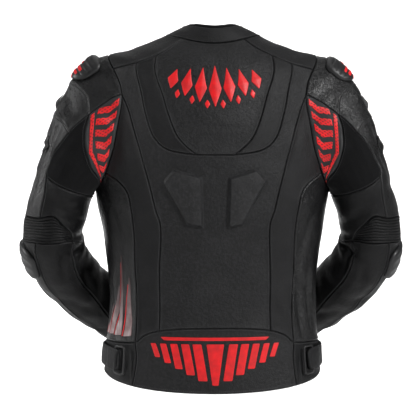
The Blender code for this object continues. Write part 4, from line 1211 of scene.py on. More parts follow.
@dataclass(frozen=True)
class StretchFinish:
    """Black ribbed stretch cloth: fine cords across it under a soft nap."""

    name: str
    colour: tuple = (0.0030, 0.0030, 0.0033)
    rib_pitch: float = 0.0016

    def build(self) -> Material:
        """Makes the material: the ribs are sines of the distances along and across the pattern.

        Returns:
            The material.
        """
        g = Graph(self.name)
        cross, wave = g.ripples("SINE", self.rib_pitch * 0.7, self.rib_pitch)
        weave = g.maths("ADD", g.maths("MULTIPLY", wave, 0.7), g.maths("MULTIPLY", cross, 0.3))
        fuzz, soft = g.noise(420.0, 4.0), g.noise(26.0, 2.0)
        # painted shade in the troughs between the cords and painted light on their crests
        tone = g.blend(g.ramp(weave, -1.0, 1.0, 0.0, 1.0), shade(self.colour, 0.6), shade(self.colour, 1.7))
        tone = g.blend(g.ramp(soft, 0.35, 0.7, 0.0, 0.35), tone, shade(self.colour, 2.4))
        normal = g.bump(weave, 0.00035, 0.6)
        normal = g.bump(fuzz, 0.0002, 0.5, normal)
        g.link(Base_Color=tone, Roughness=g.ramp(fuzz, 0.3, 0.7, 0.78, 0.95), Normal=normal,
               Sheen_Weight=0.05, Sheen_Roughness=0.5, Specular_IOR_Level=0.13)
        return g.material


@dataclass(frozen=True)
class PrintFinish:
    """A rubbery print: strong even colour, faint cracks of the leather under it."""

    name: str
    colour: tuple = (0.84, 0.008, 0.012)
    deep: tuple = (0.60, 0.006, 0.009)
    roughness: float = 0.42
    pebbles: float = 620.0      # grains a metre
    dots: float = 0.0           # pitch of the holes through it, if it is on perforated leather
    in_holes: tuple = (0.020, 0.004, 0.005)
    fade: tuple = ()            # heights between which it darkens upwards as painted shade on its upper part, if it does
    # painted shade: the colour at its top
    painted_top_shade: tuple = (0.030, 0.012, 0.013)

    def build(self) -> Material:
        """Makes the material: there is a hole where the sum of two sines is over a limit.

        Returns:
            The material.
        """
        g = Graph(self.name)
        pebble, cloud = g.pebbles(self.pebbles), g.noise(60.0, 4.0)
        tone = g.blend(g.ramp(cloud, 0.35, 0.65, 0.0, 1.0), self.colour, self.deep)
        # painted shade: darker upwards between two heights
        if self.fade:
            height = g.add("ShaderNodeSeparateXYZ", in_Vector=g.place).outputs[2]
            tone = g.blend(g.ramp(height, *self.fade, 0.0, 1.0), tone, self.painted_top_shade)
        normal = g.bump(pebble, 0.0002, 0.35)
        if self.dots:
            waves = g.ripples("SINE", self.dots, self.dots * 2.2)
            hole = g.ramp(g.maths("ADD", waves[0], g.maths("MULTIPLY", waves[1], 0.5)), 0.75, 1.1, 0.0, 1.0)
            tone = g.blend(hole, tone, self.in_holes)
            normal = g.bump(g.maths("SUBTRACT", 1.0, hole), 0.0004, 0.7, normal)
        rough = g.ramp(cloud, 0.3, 0.7, self.roughness - 0.06, self.roughness + 0.08)
        g.link(Base_Color=tone, Roughness=rough, Normal=normal)
        return g.material


@dataclass(frozen=True)
class MeshLeatherFinish:
    """Black perforated leather: rows of small holes, with the grain between them."""

    name: str
    colour: tuple = (0.0100, 0.0100, 0.0110)
    in_holes: tuple = (0.001, 0.001, 0.001)
    pitch: float = 0.0032       # between the holes

    def build(self) -> Material:
        """Makes the material: there is a hole where the sum of two cosines is over a limit.

        Returns:
            The material.
        """
        g = Graph(self.name)
        hole = g.ramp(g.maths("ADD", *g.ripples("COSINE", self.pitch, self.pitch)), 1.15, 1.5, 0.0, 1.0)
        grain = g.noise(300.0, 4.0)
        tone = g.blend(g.ramp(grain, 0.3, 0.7, 0.0, 1.0), self.colour, shade(self.colour, 1.7))
        tone = g.blend(hole, tone, self.in_holes)
        normal = g.bump(grain, 0.0003, 0.5)
        normal = g.bump(g.maths("SUBTRACT", 1.0, hole), 0.0006, 0.8, normal)
        g.link(Base_Color=tone, Roughness=g.ramp(grain, 0.3, 0.7, 0.50, 0.66), Normal=normal)
        return g.material


@dataclass(frozen=True)
class MouldedFinish:
    """Hard moulded plastic or metal: fine spark texture, scuffs that change its gloss."""

    name: str
    colour: tuple = (0.007, 0.007, 0.0075)
    roughness: float = 0.40
    metallic: float = 0.0

    def build(self) -> Material:
        """Makes the material.

        Returns:
            The material.
        """
        g = Graph(self.name)
        stretched = g.add("ShaderNodeMapping", in_Vector=g.place, in_Scale=(30.0, 160.0, 60.0)).outputs[0]
        spark, scuff = g.noise(1400.0, 2.0), g.noise(3.0, 5.0, place=stretched)
        tone = g.blend(g.ramp(scuff, 0.45, 0.75, 0.0, 0.6), self.colour, shade(self.colour, 1.8))
        rough = g.ramp(scuff, 0.3, 0.7, self.roughness - 0.06, self.roughness + 0.16)
        g.link(Base_Color=tone, Roughness=rough, Metallic=self.metallic, Normal=g.bump(spark, 0.0001, 0.35))
        return g.material


@dataclass(frozen=True)
class ThreadFinish:
    """Twisted sewing thread."""

    name: str
    colour: tuple = (0.026, 0.026, 0.028)

    def build(self) -> Material:
        """Makes the material.

        Returns:
            The material.
        """
        g = Graph(self.name)
        twist = g.noise(1800.0, 1.0)
        tone = g.blend(g.ramp(twist, 0.3, 0.7, 0.0, 1.0), self.colour, shade(self.colour, 1.8))
        g.link(Base_Color=tone, Roughness=0.58, Normal=g.bump(twist, 0.0001, 0.6))
        return g.material


class Finishes:
    """All the finishes, made once."""

    def __init__(self) -> None:
        """Makes the materials."""
        self.leather = LeatherFinish("black_leather").build()
        self.back = LeatherFinish(
            "back_leather", colour=(0.0060, 0.0060, 0.0065), rough_low=0.34, rough_high=0.62, pebbles=520.0,
            coarse_depth=0.0022, dent_depth=0.0022, level=0.30, speckle_and_glints=0.6).build()
        # a darker copy of the leather for the sleeves: painted shade, as they stand darker in the light
        # than the trunk
        self.arm = LeatherFinish(
            "arm_leather", colour=(0.0022, 0.0022, 0.0025), rough_low=0.30, rough_high=0.50, level=0.23,
            dent_depth=0.0030).build()
        self.shiny = LeatherFinish(
            "sleeve_leather", colour=(0.0034, 0.0034, 0.0037), rough_low=0.18, rough_high=0.38, level=0.36,
            dent_depth=0.0050).build()
        self.stretch = StretchFinish("ribbed_stretch").build()
        self.soft_edge = StretchFinish("soft_edge_cloth", rib_pitch=0.0011).build()
        self.accent = MeshLeatherFinish("perforated_leather").build()
        self.red = PrintFinish("red_print").build()
        self.red_mesh = PrintFinish("red_mesh_print", dots=0.0032).build()
        # the silver print darkens upwards: painted shade over its upper part
        self.silver = PrintFinish(
            "silver_print", colour=(0.40, 0.31, 0.31), deep=(0.24, 0.15, 0.15), roughness=0.36,
            fade=(-0.53, -0.43)).build()
        self.pad = LeatherFinish(
            "pad_leather", colour=(0.0072, 0.0072, 0.0078), rough_low=0.34, rough_high=0.54, level=0.36,
            coarse_depth=0.0009, speckle_and_glints=0.7).build()
        # far lighter than the other leather: a painted highlight along the two seams it lies in
        self.piping = LeatherFinish(
            "piping_leather", colour=(0.045, 0.045, 0.046), rough_low=0.18, rough_high=0.30, level=0.8,
            dent_depth=0.0002).build()
        self.plastic = MouldedFinish("moulded_plastic").build()
        self.metal = MouldedFinish(
            "dark_nickel", colour=(0.30, 0.30, 0.31), roughness=0.30, metallic=1.0).build()
        self.thread = ThreadFinish("black_thread").build()
        self.tape = StretchFinish("zip_tape", colour=(0.012, 0.012, 0.013), rib_pitch=0.0013).build()


# ---------------- solids that lie on a sheet
def capped(name: str, sheet: ClothSheet, outline: Array, side: Side, material: Material,
           height: Height, lift: float | Callable[[Array], Array], cell: float,
           rows: tuple) -> Piece:
    """A closed solid on a sheet: a top of given height, a flat underside, a wall between them.

    Args:
        name: the piece's name.
        sheet: what it lies on.
        outline: its closed outline.
        side: the side it is on.
        material: its finish.
        height: function of the points and of their distance from the edge, in metres over the underside.
        lift: height of the underside over the sheet, or a function of the points that gives it.
        cell: spacing of its points.
        rows: distances of the rows of points beside its edge.

    Returns:
        The piece.
    """
    layout = lay_out(sheet, outline, cell, rows)
    place, normal = sheet.frame(layout.points, side)
    foot = np.zeros(len(place)) + (lift(layout.points) if callable(lift) else lift)
    top = place + normal * (foot + height(layout.points, layout.edge))[:, None]
    faces = facing(thick(layout.triangles, layout.border, len(place)), side)
    points = np.concatenate([top, place + normal * foot[:, None]]) * side.flip
    # beyond the reach of the painted seam highlight and the painted seam shade
    edge = np.concatenate([layout.edge + PAST_SEAM_MARKS, np.full(len(place), PAST_SEAM_MARKS)])
    uv = np.tile(layout.points * sheet.scale, (2, 1))
    return make_object(name, points, faces, material, uv=uv, edge=edge)


def rounded(sheet: ClothSheet, centre: tuple, half: tuple, power: float, spacing: float) -> Array:
    """A closed outline between an oval and a rectangle: cosine and sine raised to 2 / power.

    Args:
        sheet: the sheet it is on.
        centre: angle and distance of its middle.
        half: half its extents, in degrees and in metres.
        power: 2 for an oval, more for a squarer outline.
        spacing: distance between its points, which are even.

    Returns:
        The outline.
    """
    turn = np.linspace(0, 2 * math.pi, 1441)
    c, s = np.cos(turn), np.sin(turn)
    shape = np.stack([np.sign(c) * np.abs(c)**(2 / power), np.sign(s) * np.abs(s)**(2 / power)], axis=1)
    outline = np.array(centre) + np.array(half) * shape
    run = run_along(sheet.bare(outline))
    at = np.linspace(0, run[-1], 2 * round(run[-1] / spacing / 2), endpoint=False)
    return read_line(at, run, outline)


def polygon(sheet: ClothSheet, corners: list, round_off: float, spacing: float) -> Array:
    """A closed outline with straight sides, each corner rounded off by a quadratic curve.

    Args:
        sheet: the sheet it is on.
        corners: angle and distance of each corner.
        round_off: how far before a corner the curve starts, in metres.
        spacing: distance between its points.

    Returns:
        The outline.
    """
    corners = np.array(corners, dtype=float)
    metric = sheet.metric(corners.mean(axis=0)[None])[0]
    flat = corners * metric
    before, after = np.roll(flat, 1, axis=0) - flat, np.roll(flat, -1, axis=0) - flat
    starts = flat + unit(before) * np.minimum(round_off, np.linalg.norm(before, axis=1) * 0.45)[:, None]
    ends = flat + unit(after) * np.minimum(round_off, np.linalg.norm(after, axis=1) * 0.45)[:, None]
    t = np.linspace(0, 1, 7)[:, None, None]
    bends = ((1 - t)**2 * starts + 2 * t * (1 - t) * flat + t**2 * ends).transpose(1, 0, 2).reshape(-1, 2)
    closed = np.concatenate([bends, bends[:1]])
    run = run_along(closed)
    at = np.linspace(0, run[-1], max(8, round(run[-1] / spacing)), endpoint=False)
    return read_line(at, run, closed) / metric


def tube(name: str, line: Array, normal: Array, radius: float, material: Material,
         sides: int = 8, flat: float = 1.0, closed: bool = False) -> Piece:
    """A cord along a line, rounded and closed at its ends.

    Args:
        name: the piece's name.
        line: its points.
        normal: outward direction at each point.
        radius: half its width.
        material: its finish.
        sides: points round it.
        flat: its height over its width.
        closed: whether its end meets its start.

    Returns:
        The piece: rings of points, centre + radius * (across * cos + outward * sin).
    """
    run = np.roll(line, -1, axis=0) - np.roll(line, 1, axis=0) if closed else np.gradient(line, axis=0)
    across_line = unit(np.cross(run, normal))
    turn = np.linspace(0, 2 * math.pi, sides, endpoint=False)[None, :, None]
    size = np.full(len(line), radius)
    if not closed:
        size[0] = size[-1] = radius * 0.35
    ring = (line[:, None] + across_line[:, None] * np.cos(turn) * size[:, None, None]
            + normal[:, None] * np.sin(turn) * size[:, None, None] * flat)
    index = np.arange(len(line) * sides).reshape(len(line), sides)
    rows = np.concatenate([index, index[:1]]) if closed else index
    right = np.roll(rows, -1, axis=1)
    quads = np.stack([rows[:-1], rows[1:], right[1:], right[:-1]], axis=-1).reshape(-1, 4).tolist()
    caps = [] if closed else [index[0].tolist(), index[-1][::-1].tolist()]
    return make_object(name, ring.reshape(-1, 3), quads + caps, material)


def merged(name: str, pieces: list[Piece]) -> Piece:
    """Joins pieces into the first, under a new name.

    Args:
        name: the new name.
        pieces: the pieces.

    Returns:
        The first piece, now with all of them.
    """
    with bpy.context.temp_override(active_object=pieces[0], selected_editable_objects=pieces,
                                   selected_objects=pieces, object=pieces[0]):
        bpy.ops.object.join()
    pieces[0].name = name
    return pieces[0]


# ---------------- sewing
@dataclass
class Stitching:
    """Rows of stitches, gathered for one body half and made into one piece at the end.

    Attributes:
        name: the piece's name.
        rows: both ends of each stitch of a row, with their normals.
    """

    name: str
    rows: list = field(default_factory=list)

    def add(self, sheet: ClothSheet, line: Array, side: Side, offset: float, height: float = 0.0001,
            relief: Callable[[Array], Array] | None = None) -> None:
        """Adds a row beside a line on a sheet.

        Args:
            sheet: the sheet.
            line: angle and distance along the line.
            side: the side it is on.
            offset: distance from the line, positive to the left of its direction on the flat pattern.
            height: height over the sheet.
            relief: gives the height at the stitches' ends, where it isn't a seam's roll.
        """
        metric = sheet.metric(line)
        run = unit(np.gradient(line, axis=0) * metric)
        beside = line + np.stack([-run[:, 1], run[:, 0]], axis=1) * offset / metric
        length = run_along(sheet.bare(beside))
        inset_by = min(abs(offset) + 0.0015, 0.2 * length[-1])
        count = int((length[-1] - 2 * inset_by) / STITCH_PITCH)
        if count < 2:
            return
        middle = inset_by + (np.arange(count) + 0.5) * (length[-1] - 2 * inset_by) / count
        at = read_line(np.stack([middle - STITCH_LENGTH / 2, middle + STITCH_LENGTH / 2]), length, beside)
        rise = seam_roll(np.full(at.shape[:-1], abs(offset))) if relief is None else relief(at)
        place, normal = sheet.frame(at, side)
        place = (place + normal * (height + rise)[..., None]) * side.flip
        self.rows.append(np.concatenate([place, normal * side.flip], axis=-1))

    def build(self, material: Material) -> None:
        """Makes all the stitches: a six-sided spindle, arched over the leather, from end to end.

        Args:
            material: the thread.
        """
        ends = np.concatenate(self.rows, axis=1)
        start, finish = ends[0, :, :3], ends[1, :, :3]
        normal = unit(ends[0, :, 3:] + ends[1, :, 3:])
        run = finish - start
        across_line = unit(np.cross(run, normal))
        t = np.array([0.0, 0.22, 0.5, 0.78, 1.0])
        wide = np.array([0.45, 1.0, 1.1, 1.0, 0.45]) * STITCH_HALF
        arch = np.array([-0.9, 0.35, 0.75, 0.35, -0.9]) * STITCH_HALF
        turn = np.linspace(0, 2 * math.pi, 6, endpoint=False)
        middle = start[:, None] + run[:, None] * t[None, :, None] + normal[:, None] * arch[None, :, None]
        beside, above = (wide[:, None] * wave for wave in (np.cos(turn), np.sin(turn) * 0.8))
        ring = (middle[:, :, None] + across_line[:, None, None] * beside[None, ..., None]
                + normal[:, None, None] * above[None, ..., None])
        index = np.arange(len(t) * len(turn)).reshape(len(t), -1)
        right = np.roll(index, -1, axis=1)
        quads = np.stack([index[:-1], index[1:], right[1:], right[:-1]], axis=-1).reshape(-1, 4)
        first, last = index[0], index[-1]
        quads = np.concatenate([quads, [first[[0, 1, 2, 3]], first[[0, 3, 4, 5]], last[[3, 2, 1, 0]],
                                        last[[5, 4, 3, 0]]]])
        faces = (quads[None] + index.size * np.arange(len(ring))[:, None, None]).reshape(-1, 4)
        piece = make_object(self.name, ring.reshape(-1, 3), faces, material)
        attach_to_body(piece, "root")
        LOG.info("%s: %d stitches", self.name, len(ring))


# ---------------- the shell: every cloth panel
class Ribbed(Panel):
    """A stretch panel with shallow gathers."""

    def extra(self, layout: Layout, side: Side) -> Array:
        """Height over the sheet: the seam's roll, and a low sine of the angle and the distance.

        Args:
            layout: the panel's points.
            side: the side it is on.

        Returns:
            The height at each point.
        """
        angle, along = np.radians(layout.points[:, 0]), layout.points[:, 1]
        gather = 0.0005 * np.sin(angle * 26 + along * 40 * side.value)
        return seam_roll(layout.edge) + gather * np.clip(layout.edge / 0.012, 0, 1)


@dataclass
class Shell:
    """The cloth panels of trunk, sleeves and collar.

    Attributes:
        finishes: the materials.
        rib_count: ridges on the panel above each elbow.
        rib_height: their height in metres.
        rib_rows: points down that panel.
        rib_columns: points across it.
        rib_gap: the share of it that is left free along its seams.
    """

    finishes: Finishes
    rib_count: int = 9
    rib_height: float = 0.0027
    rib_rows: int = 96
    rib_columns: int = 72
    rib_gap: float = 0.008

    def trunk(self) -> list[Panel]:
        """The panels of the trunk: name, finish, whether there are two, and seams.

        Returns:
            The panels, not built yet.
        """
        f = self.finishes
        rows = [
            ("yoke", f.leather, True, (
                NECK_SIDE, FRONT_YOKE, HOLE_TOP, YOKE_SHOULDER, YOKE_STRIP, YOKE_NECK)),
            ("back_upper", f.back, False, (NECK_BACK, *both_halves(YOKE_NECK, INNER_U, U_BOTTOM))),
            ("back_strip", f.leather, True, (YOKE_STRIP, OUTER_U, INNER_U)),
            ("back_lower", f.back, False, both_halves(
                U_BOTTOM, OUTER_U, YOKE_SHOULDER, HOLE_BLADE, PRINCESS, BAND_BACK)),
            ("back_side", f.leather, True, (PRINCESS, BAND_SIDE, SIDE_SEAM, HOLE_BACK)),
            ("side", f.shiny, True, (SIDE_SEAM, BAND_FLANK, FRONT_SEAM, HOLE_PIT)),
            ("front", f.leather, True, (
                FRONT_YOKE, HOLE_FRONT, FRONT_SEAM, BAND_FRONT, FRONT_EDGE, NECK_FRONT)),
            ("lumbar_panel", f.back, False, both_halves(BAND_BACK, BAND_SIDE, LUMBAR_EDGE, HEM_BACK)),
            ("waistband", f.leather, True, (BAND_FLANK, BAND_FRONT, BAND_EDGE, HEM_SIDE, LUMBAR_EDGE))]
        return [Panel(name, TRUNK, loop(*seams), finish, "leather", paired)
                for name, finish, paired, seams in rows]

    def sleeves(self) -> list[Panel]:
        """The panels of the sleeves: name, finish, slot and seams.

        Returns:
            The panels, not built yet.
        """
        f = self.finishes
        rows = [
            ("sleeve_head", f.shiny, "leather", (
                SLEEVE_TOP, SLEEVE_BLADE, ACCENT_TOP, HEAD_EDGE, HEAD_EDGE_FRONT, SLEEVE_HEAD_FRONT)),
            ("rear_accent", f.accent, "accent", (ACCENT_TOP, ACCENT_EDGE, SLEEVE_BACK)),
            ("sleeve_stretch", f.stretch, "stretch", (
                ACCENT_EDGE, OUTER_SEAM_TOP, OUTER_SEAM_MID, STRETCH_LOW, INNER_LINE_TOP, SLEEVE_PIT)),
            ("sleeve_outer_upper", f.shiny, "leather", (
                HEAD_EDGE, FRONT_LINE_TOP, OUTER_JOINT, OUTER_SEAM_TOP)),
            ("sleeve_outer_lower", f.shiny, "leather", (
                OUTER_JOINT, FRONT_LINE_LOW, ELBOW_OUTER, RIB_SIDE, RIB_TOP[0], OUTER_SEAM_LOW,
                OUTER_SEAM_MID)),
            ("upper_arm_back", f.arm, "leather", (
                STRETCH_LOW, OUTER_SEAM_LOW, RIB_TOP[1], RIB_END, ELBOW_INNER, INNER_LINE_LOW)),
            ("sleeve_front", f.arm, "leather", (
                SLEEVE_FRONT, HEAD_EDGE_FRONT, FRONT_LINE_TOP, FRONT_LINE_LOW, ELBOW_FRONT,
                INNER_LINE_LOW + FULL_TURN, INNER_LINE_TOP + FULL_TURN)),
            ("forearm_outer", f.arm, "leather", (
                RIB_LOW_OUTER, ELBOW_OUTER, FOREARM_FRONT, CUFF_OUTER, FOREARM_SEAM)),
            ("forearm_back", f.arm, "leather", (RIB_LOW_BACK, FOREARM_SEAM, CUFF_BACK, FOREARM_INNER)),
            ("forearm_inner", f.arm, "leather", (
                ELBOW_FRONT, FOREARM_FRONT, CUFF_INNER, FOREARM_INNER + FULL_TURN,
                ELBOW_INNER + FULL_TURN)),
            ("cuff", f.arm, "leather", (
                CUFF_BACK, CUFF_OUTER, CUFF_INNER, CUFF_EDGE + FULL_TURN, CUFF_HEM, CUFF_EDGE))]
        return [(Ribbed if slot == "stretch" else Panel)(name, SLEEVE, loop(*seams), finish, slot)
                for name, finish, slot, seams in rows]

    def collar(self) -> list[Panel]:
        """The stand collar and the soft band on its top.

        Returns:
            Both panels, not built yet.
        """
        f = self.finishes
        return [
            Panel("collar", COLLAR, loop(*NECK_RING, COLLAR_RISE, COLLAR_TOP, mirror(COLLAR_RISE)),
                  f.leather, "leather", paired=False),
            Panel("collar_edge", COLLAR, loop(COLLAR_TOP, COLLAR_STEP, COLLAR_RIM, mirror(COLLAR_STEP)),
                  f.soft_edge, "soft_edge", paired=False),
        ]

    def elbow_ribs(self, side: Side) -> None:
        """The ribbed panel above an elbow.

        A point is the Coons blend of the four edges. Its height over the sheet is the power 0.6 of the sine
        of the share of the way down it times the count of ridges, fading out towards the ends.

        Args:
            side: the side it is on.
        """
        rows, columns, gap = self.rib_rows, self.rib_columns, self.rib_gap
        top = spread(SLEEVE, np.concatenate([RIB_TOP[0], RIB_TOP[1][1:]]), columns)
        low = spread(SLEEVE, np.concatenate([RIB_LOW_OUTER[::-1], RIB_LOW_BACK[::-1][1:]]), columns)
        start, end = spread(SLEEVE, RIB_SIDE, rows), spread(SLEEVE, RIB_END, rows)
        v = np.linspace(gap, 1 - gap, rows)[:, None, None]
        u = np.linspace(gap / 2, 1 - gap / 2, columns)[None, :, None]
        points = ((1 - v) * top[None] + v * low[None] + (1 - u) * start[:, None] + u * end[:, None]
                  - (1 - v) * ((1 - u) * top[0] + u * top[-1]) - v * ((1 - u) * low[0] + u * low[-1]))
        fade = (np.clip(np.minimum(u / 0.10, (1 - u) / 0.22), 0, 1)[..., 0]
                * np.clip(np.minimum(v / 0.05, (1 - v) / 0.05), 0, 1)[..., 0])
        wave = np.abs(np.sin(np.pi * self.rib_count * v[..., 0]))**0.6
        flat = points.reshape(-1, 2)
        metric = SLEEVE.metric(flat).reshape(rows, columns, 2)
        tall = np.linalg.norm((low - top) * metric[rows // 2], axis=1)
        edge = np.minimum(np.minimum(v, 1 - v)[..., 0] * tall[None, :], np.minimum(u, 1 - u)[..., 0] * 0.13)
        height = self.rib_height * wave * fade + seam_roll(edge)
        place, normal = SLEEVE.frame(points, side)
        outer = (place + normal * height[..., None]).reshape(-1, 3)
        inner = (place - normal * LEATHER).reshape(-1, 3)
        index = np.arange(rows * columns).reshape(rows, columns)
        quads = np.stack([index[:-1, :-1], index[:-1, 1:], index[1:, 1:], index[1:, :-1]], -1)
        quads = quads.reshape(-1, 4)
        ring = np.concatenate([index[:-1, 0], index[-1, :-1], index[:0:-1, -1], index[0, :0:-1]])
        triangles = np.concatenate([quads[:, [0, 1, 2]], quads[:, [0, 2, 3]]])
        node = f"elbow_ribs_{side.suffix}"
        piece = make_object(node + "_cloth", np.concatenate([outer, inner]) * side.flip,
                            facing(thick(triangles, ring, len(outer)), side), self.finishes.arm,
                            uv=np.tile(flat * SLEEVE.scale, (2, 1)),
                            edge=np.tile((edge + 0.004 * fade).ravel(), 2))
        attach(piece, node)

    def build(self) -> None:
        """Makes every panel."""
        for panel in self.trunk() + self.sleeves() + self.collar():
            panel.build()
        for side in BOTH:
            self.elbow_ribs(side)


# ---------------- what lies on the shell
def polygon_on(sheet: ClothSheet, *outlines: list) -> list[Array]:
    """Outlines with straight sides and slightly rounded corners."""
    return [polygon(sheet, corners, 0.0012, 0.0022) for corners in outlines]


@dataclass
class Protectors:
    """The back pads and the hard sliders of shoulders and elbows.

    Attributes:
        finishes: the materials.
        pad: corners of the right back pad, as angle and distance on the trunk.
        pad_height: height of its top where the bevel ends.
        bevel: width of the slope round it.
        seat: air between a pad and the panel that it lies on.
        shoulder: centre, half extents and squareness of the shoulder slider.
        elbow: the same of the elbow slider.
        lip: height of the wall round a slider.
        shoulder_seat: air under the shoulder slider.
        elbow_seat: air under the elbow slider.
        blocks: start and end of each inlaid block, as shares of half the slider's width.
        edge_rows: rows of points beside the edge of a slider.
    """

    finishes: Finishes
    pad: tuple = ((5.5, 0.3245), (18.5, 0.307), (24.0, 0.335), (16.5, 0.385), (13.0, 0.413), (5.0, 0.418))
    pad_height: float = 0.0066
    bevel: float = 0.0052
    seat: float = 0.0002
    shoulder: tuple = ((88, -0.2265), (25, 0.0355), 3.0)
    elbow: tuple = ((71, 0.1285), (41, 0.0240), 3.2)
    lip: float = 0.0008
    shoulder_seat: float = 0.0009
    elbow_seat: float = 0.0004
    blocks: tuple = ((-0.30, 0.10), (-0.62, 0.16), (-0.56, -0.02), (-0.34, -0.08))
    edge_rows: tuple = (0.0006, 0.0012, 0.0020, 0.0030, 0.0042, 0.0054, 0.0060, 0.0072)

    def pad_profile(self, points: Array, edge: Array) -> Array:
        """A short wall, a straight bevel and a slightly domed top.

        Args:
            points: angles and distances; not used.
            edge: their distances from the pad's edge.

        Returns:
            The height at each point over the underside.
        """
        wall = 0.0006
        dome = 0.0010 * rising((edge - self.bevel) / 0.016)
        return wall + (self.pad_height - wall) * np.clip((edge - wall) / self.bevel, 0, 1) + dome

    def shoulder_profile(self, points: Array, edge: Array) -> Array:
        """A dome with a rim, a raised spine and grooves that cross it on a slant.

        Args:
            points: angles and distances.
            edge: their distances from the slider's edge.

        Returns:
            The height at each point over the underside.
        """
        u, v = ((points - self.shoulder[0]) / self.shoulder[1]).T
        slant = v * 3.0 + u * 0.9
        groove = np.exp(-((slant - np.round(slant)) / 0.10)**2) * rising((edge - 0.005) / 0.003)
        spine = np.exp(-((u + 0.15) / 0.25)**2) * rising((edge - 0.004) / 0.006)
        return self.lip + 0.0064 * round_edge(edge, 0.011) - 0.0012 * groove + 0.0012 * spine

    def elbow_profile(self, points: Array, edge: Array) -> Array:
        """A dome with ridges across the arm: the cosine of the distance along it, inside a smooth rim.

        Args:
            points: angles and distances.
            edge: their distances from the slider's edge.

        Returns:
            The height at each point over the underside.
        """
        v = (points[:, 1] - self.elbow[0][1]) / self.elbow[1][1]
        ridge = np.clip(np.cos(v * math.pi * 4.0), -0.4, 1) * rising((edge - 0.006) / 0.005)
        return self.lip + 0.0070 * round_edge(edge, 0.010) + 0.0009 * ridge

    def build(self) -> None:
        """Makes the pads and the sliders."""
        f = self.finishes
        pad = polygon(TRUNK, list(self.pad), 0.0060, 0.0022)
        shoulder = rounded(SLEEVE, *self.shoulder, 0.0022)
        elbow = rounded(SLEEVE, *self.elbow, 0.0022)
        for side in BOTH:
            name = f"back_pad_{side.suffix}"
            piece = capped(name + "_foam", TRUNK, pad, side, f.pad, self.pad_profile, self.seat, 0.0028,
                           (*self.edge_rows, 0.0090))
            attach(piece, name)
            for name, outline, profile, seat, cell in (
                    ("shoulder_slider", shoulder, self.shoulder_profile, self.shoulder_seat, 0.0019),
                    ("elbow_slider", elbow, self.elbow_profile, self.elbow_seat, 0.0022)):
                node = f"{name}_{side.suffix}"
                cap = capped(node + "_cap", SLEEVE, outline, side, f.plastic, profile, seat, cell,
                             self.edge_rows)
                attach(cap, node)
            self.inlay(side, shoulder)

    def inlay(self, side: Side, outline: Array) -> None:
        """Four red blocks on a shoulder slider, between its grooves.

        Args:
            side: the slider's side.
            outline: the slider's outline.
        """
        def ground(points: Array) -> Array:
            """Height of the slider's surface at these points."""
            edge = edge_distance(points, outline, SLEEVE.metric(points))
            return self.shoulder_seat + self.shoulder_profile(points, edge) + 0.0002

        def rise(points: Array, edge: Array) -> Array:
            """Height of a block over it."""
            return 0.0002 + 0.0003 * rising(edge / 0.0009)

        (u, v), (wide, tall), _ = self.shoulder
        pieces = []
        for k, (start, end) in enumerate(self.blocks):
            low, high = (k - 0.5 - 0.30) / 3.0, (k - 0.5 + 0.30) / 3.0
            corners = [(u + a * wide, v + (b - 0.3 * a) * tall)
                       for a, b in ((start, low), (end, low), (end, high), (start, high))]
            block, = polygon_on(SLEEVE, corners)
            pieces.append(capped(f"block_{k}", SLEEVE, block, side, self.finishes.red, rise, ground, 0.0018,
                                 (0.0004, 0.0009)))
        attach(merged(f"slider_inlay_{side.suffix}", pieces))


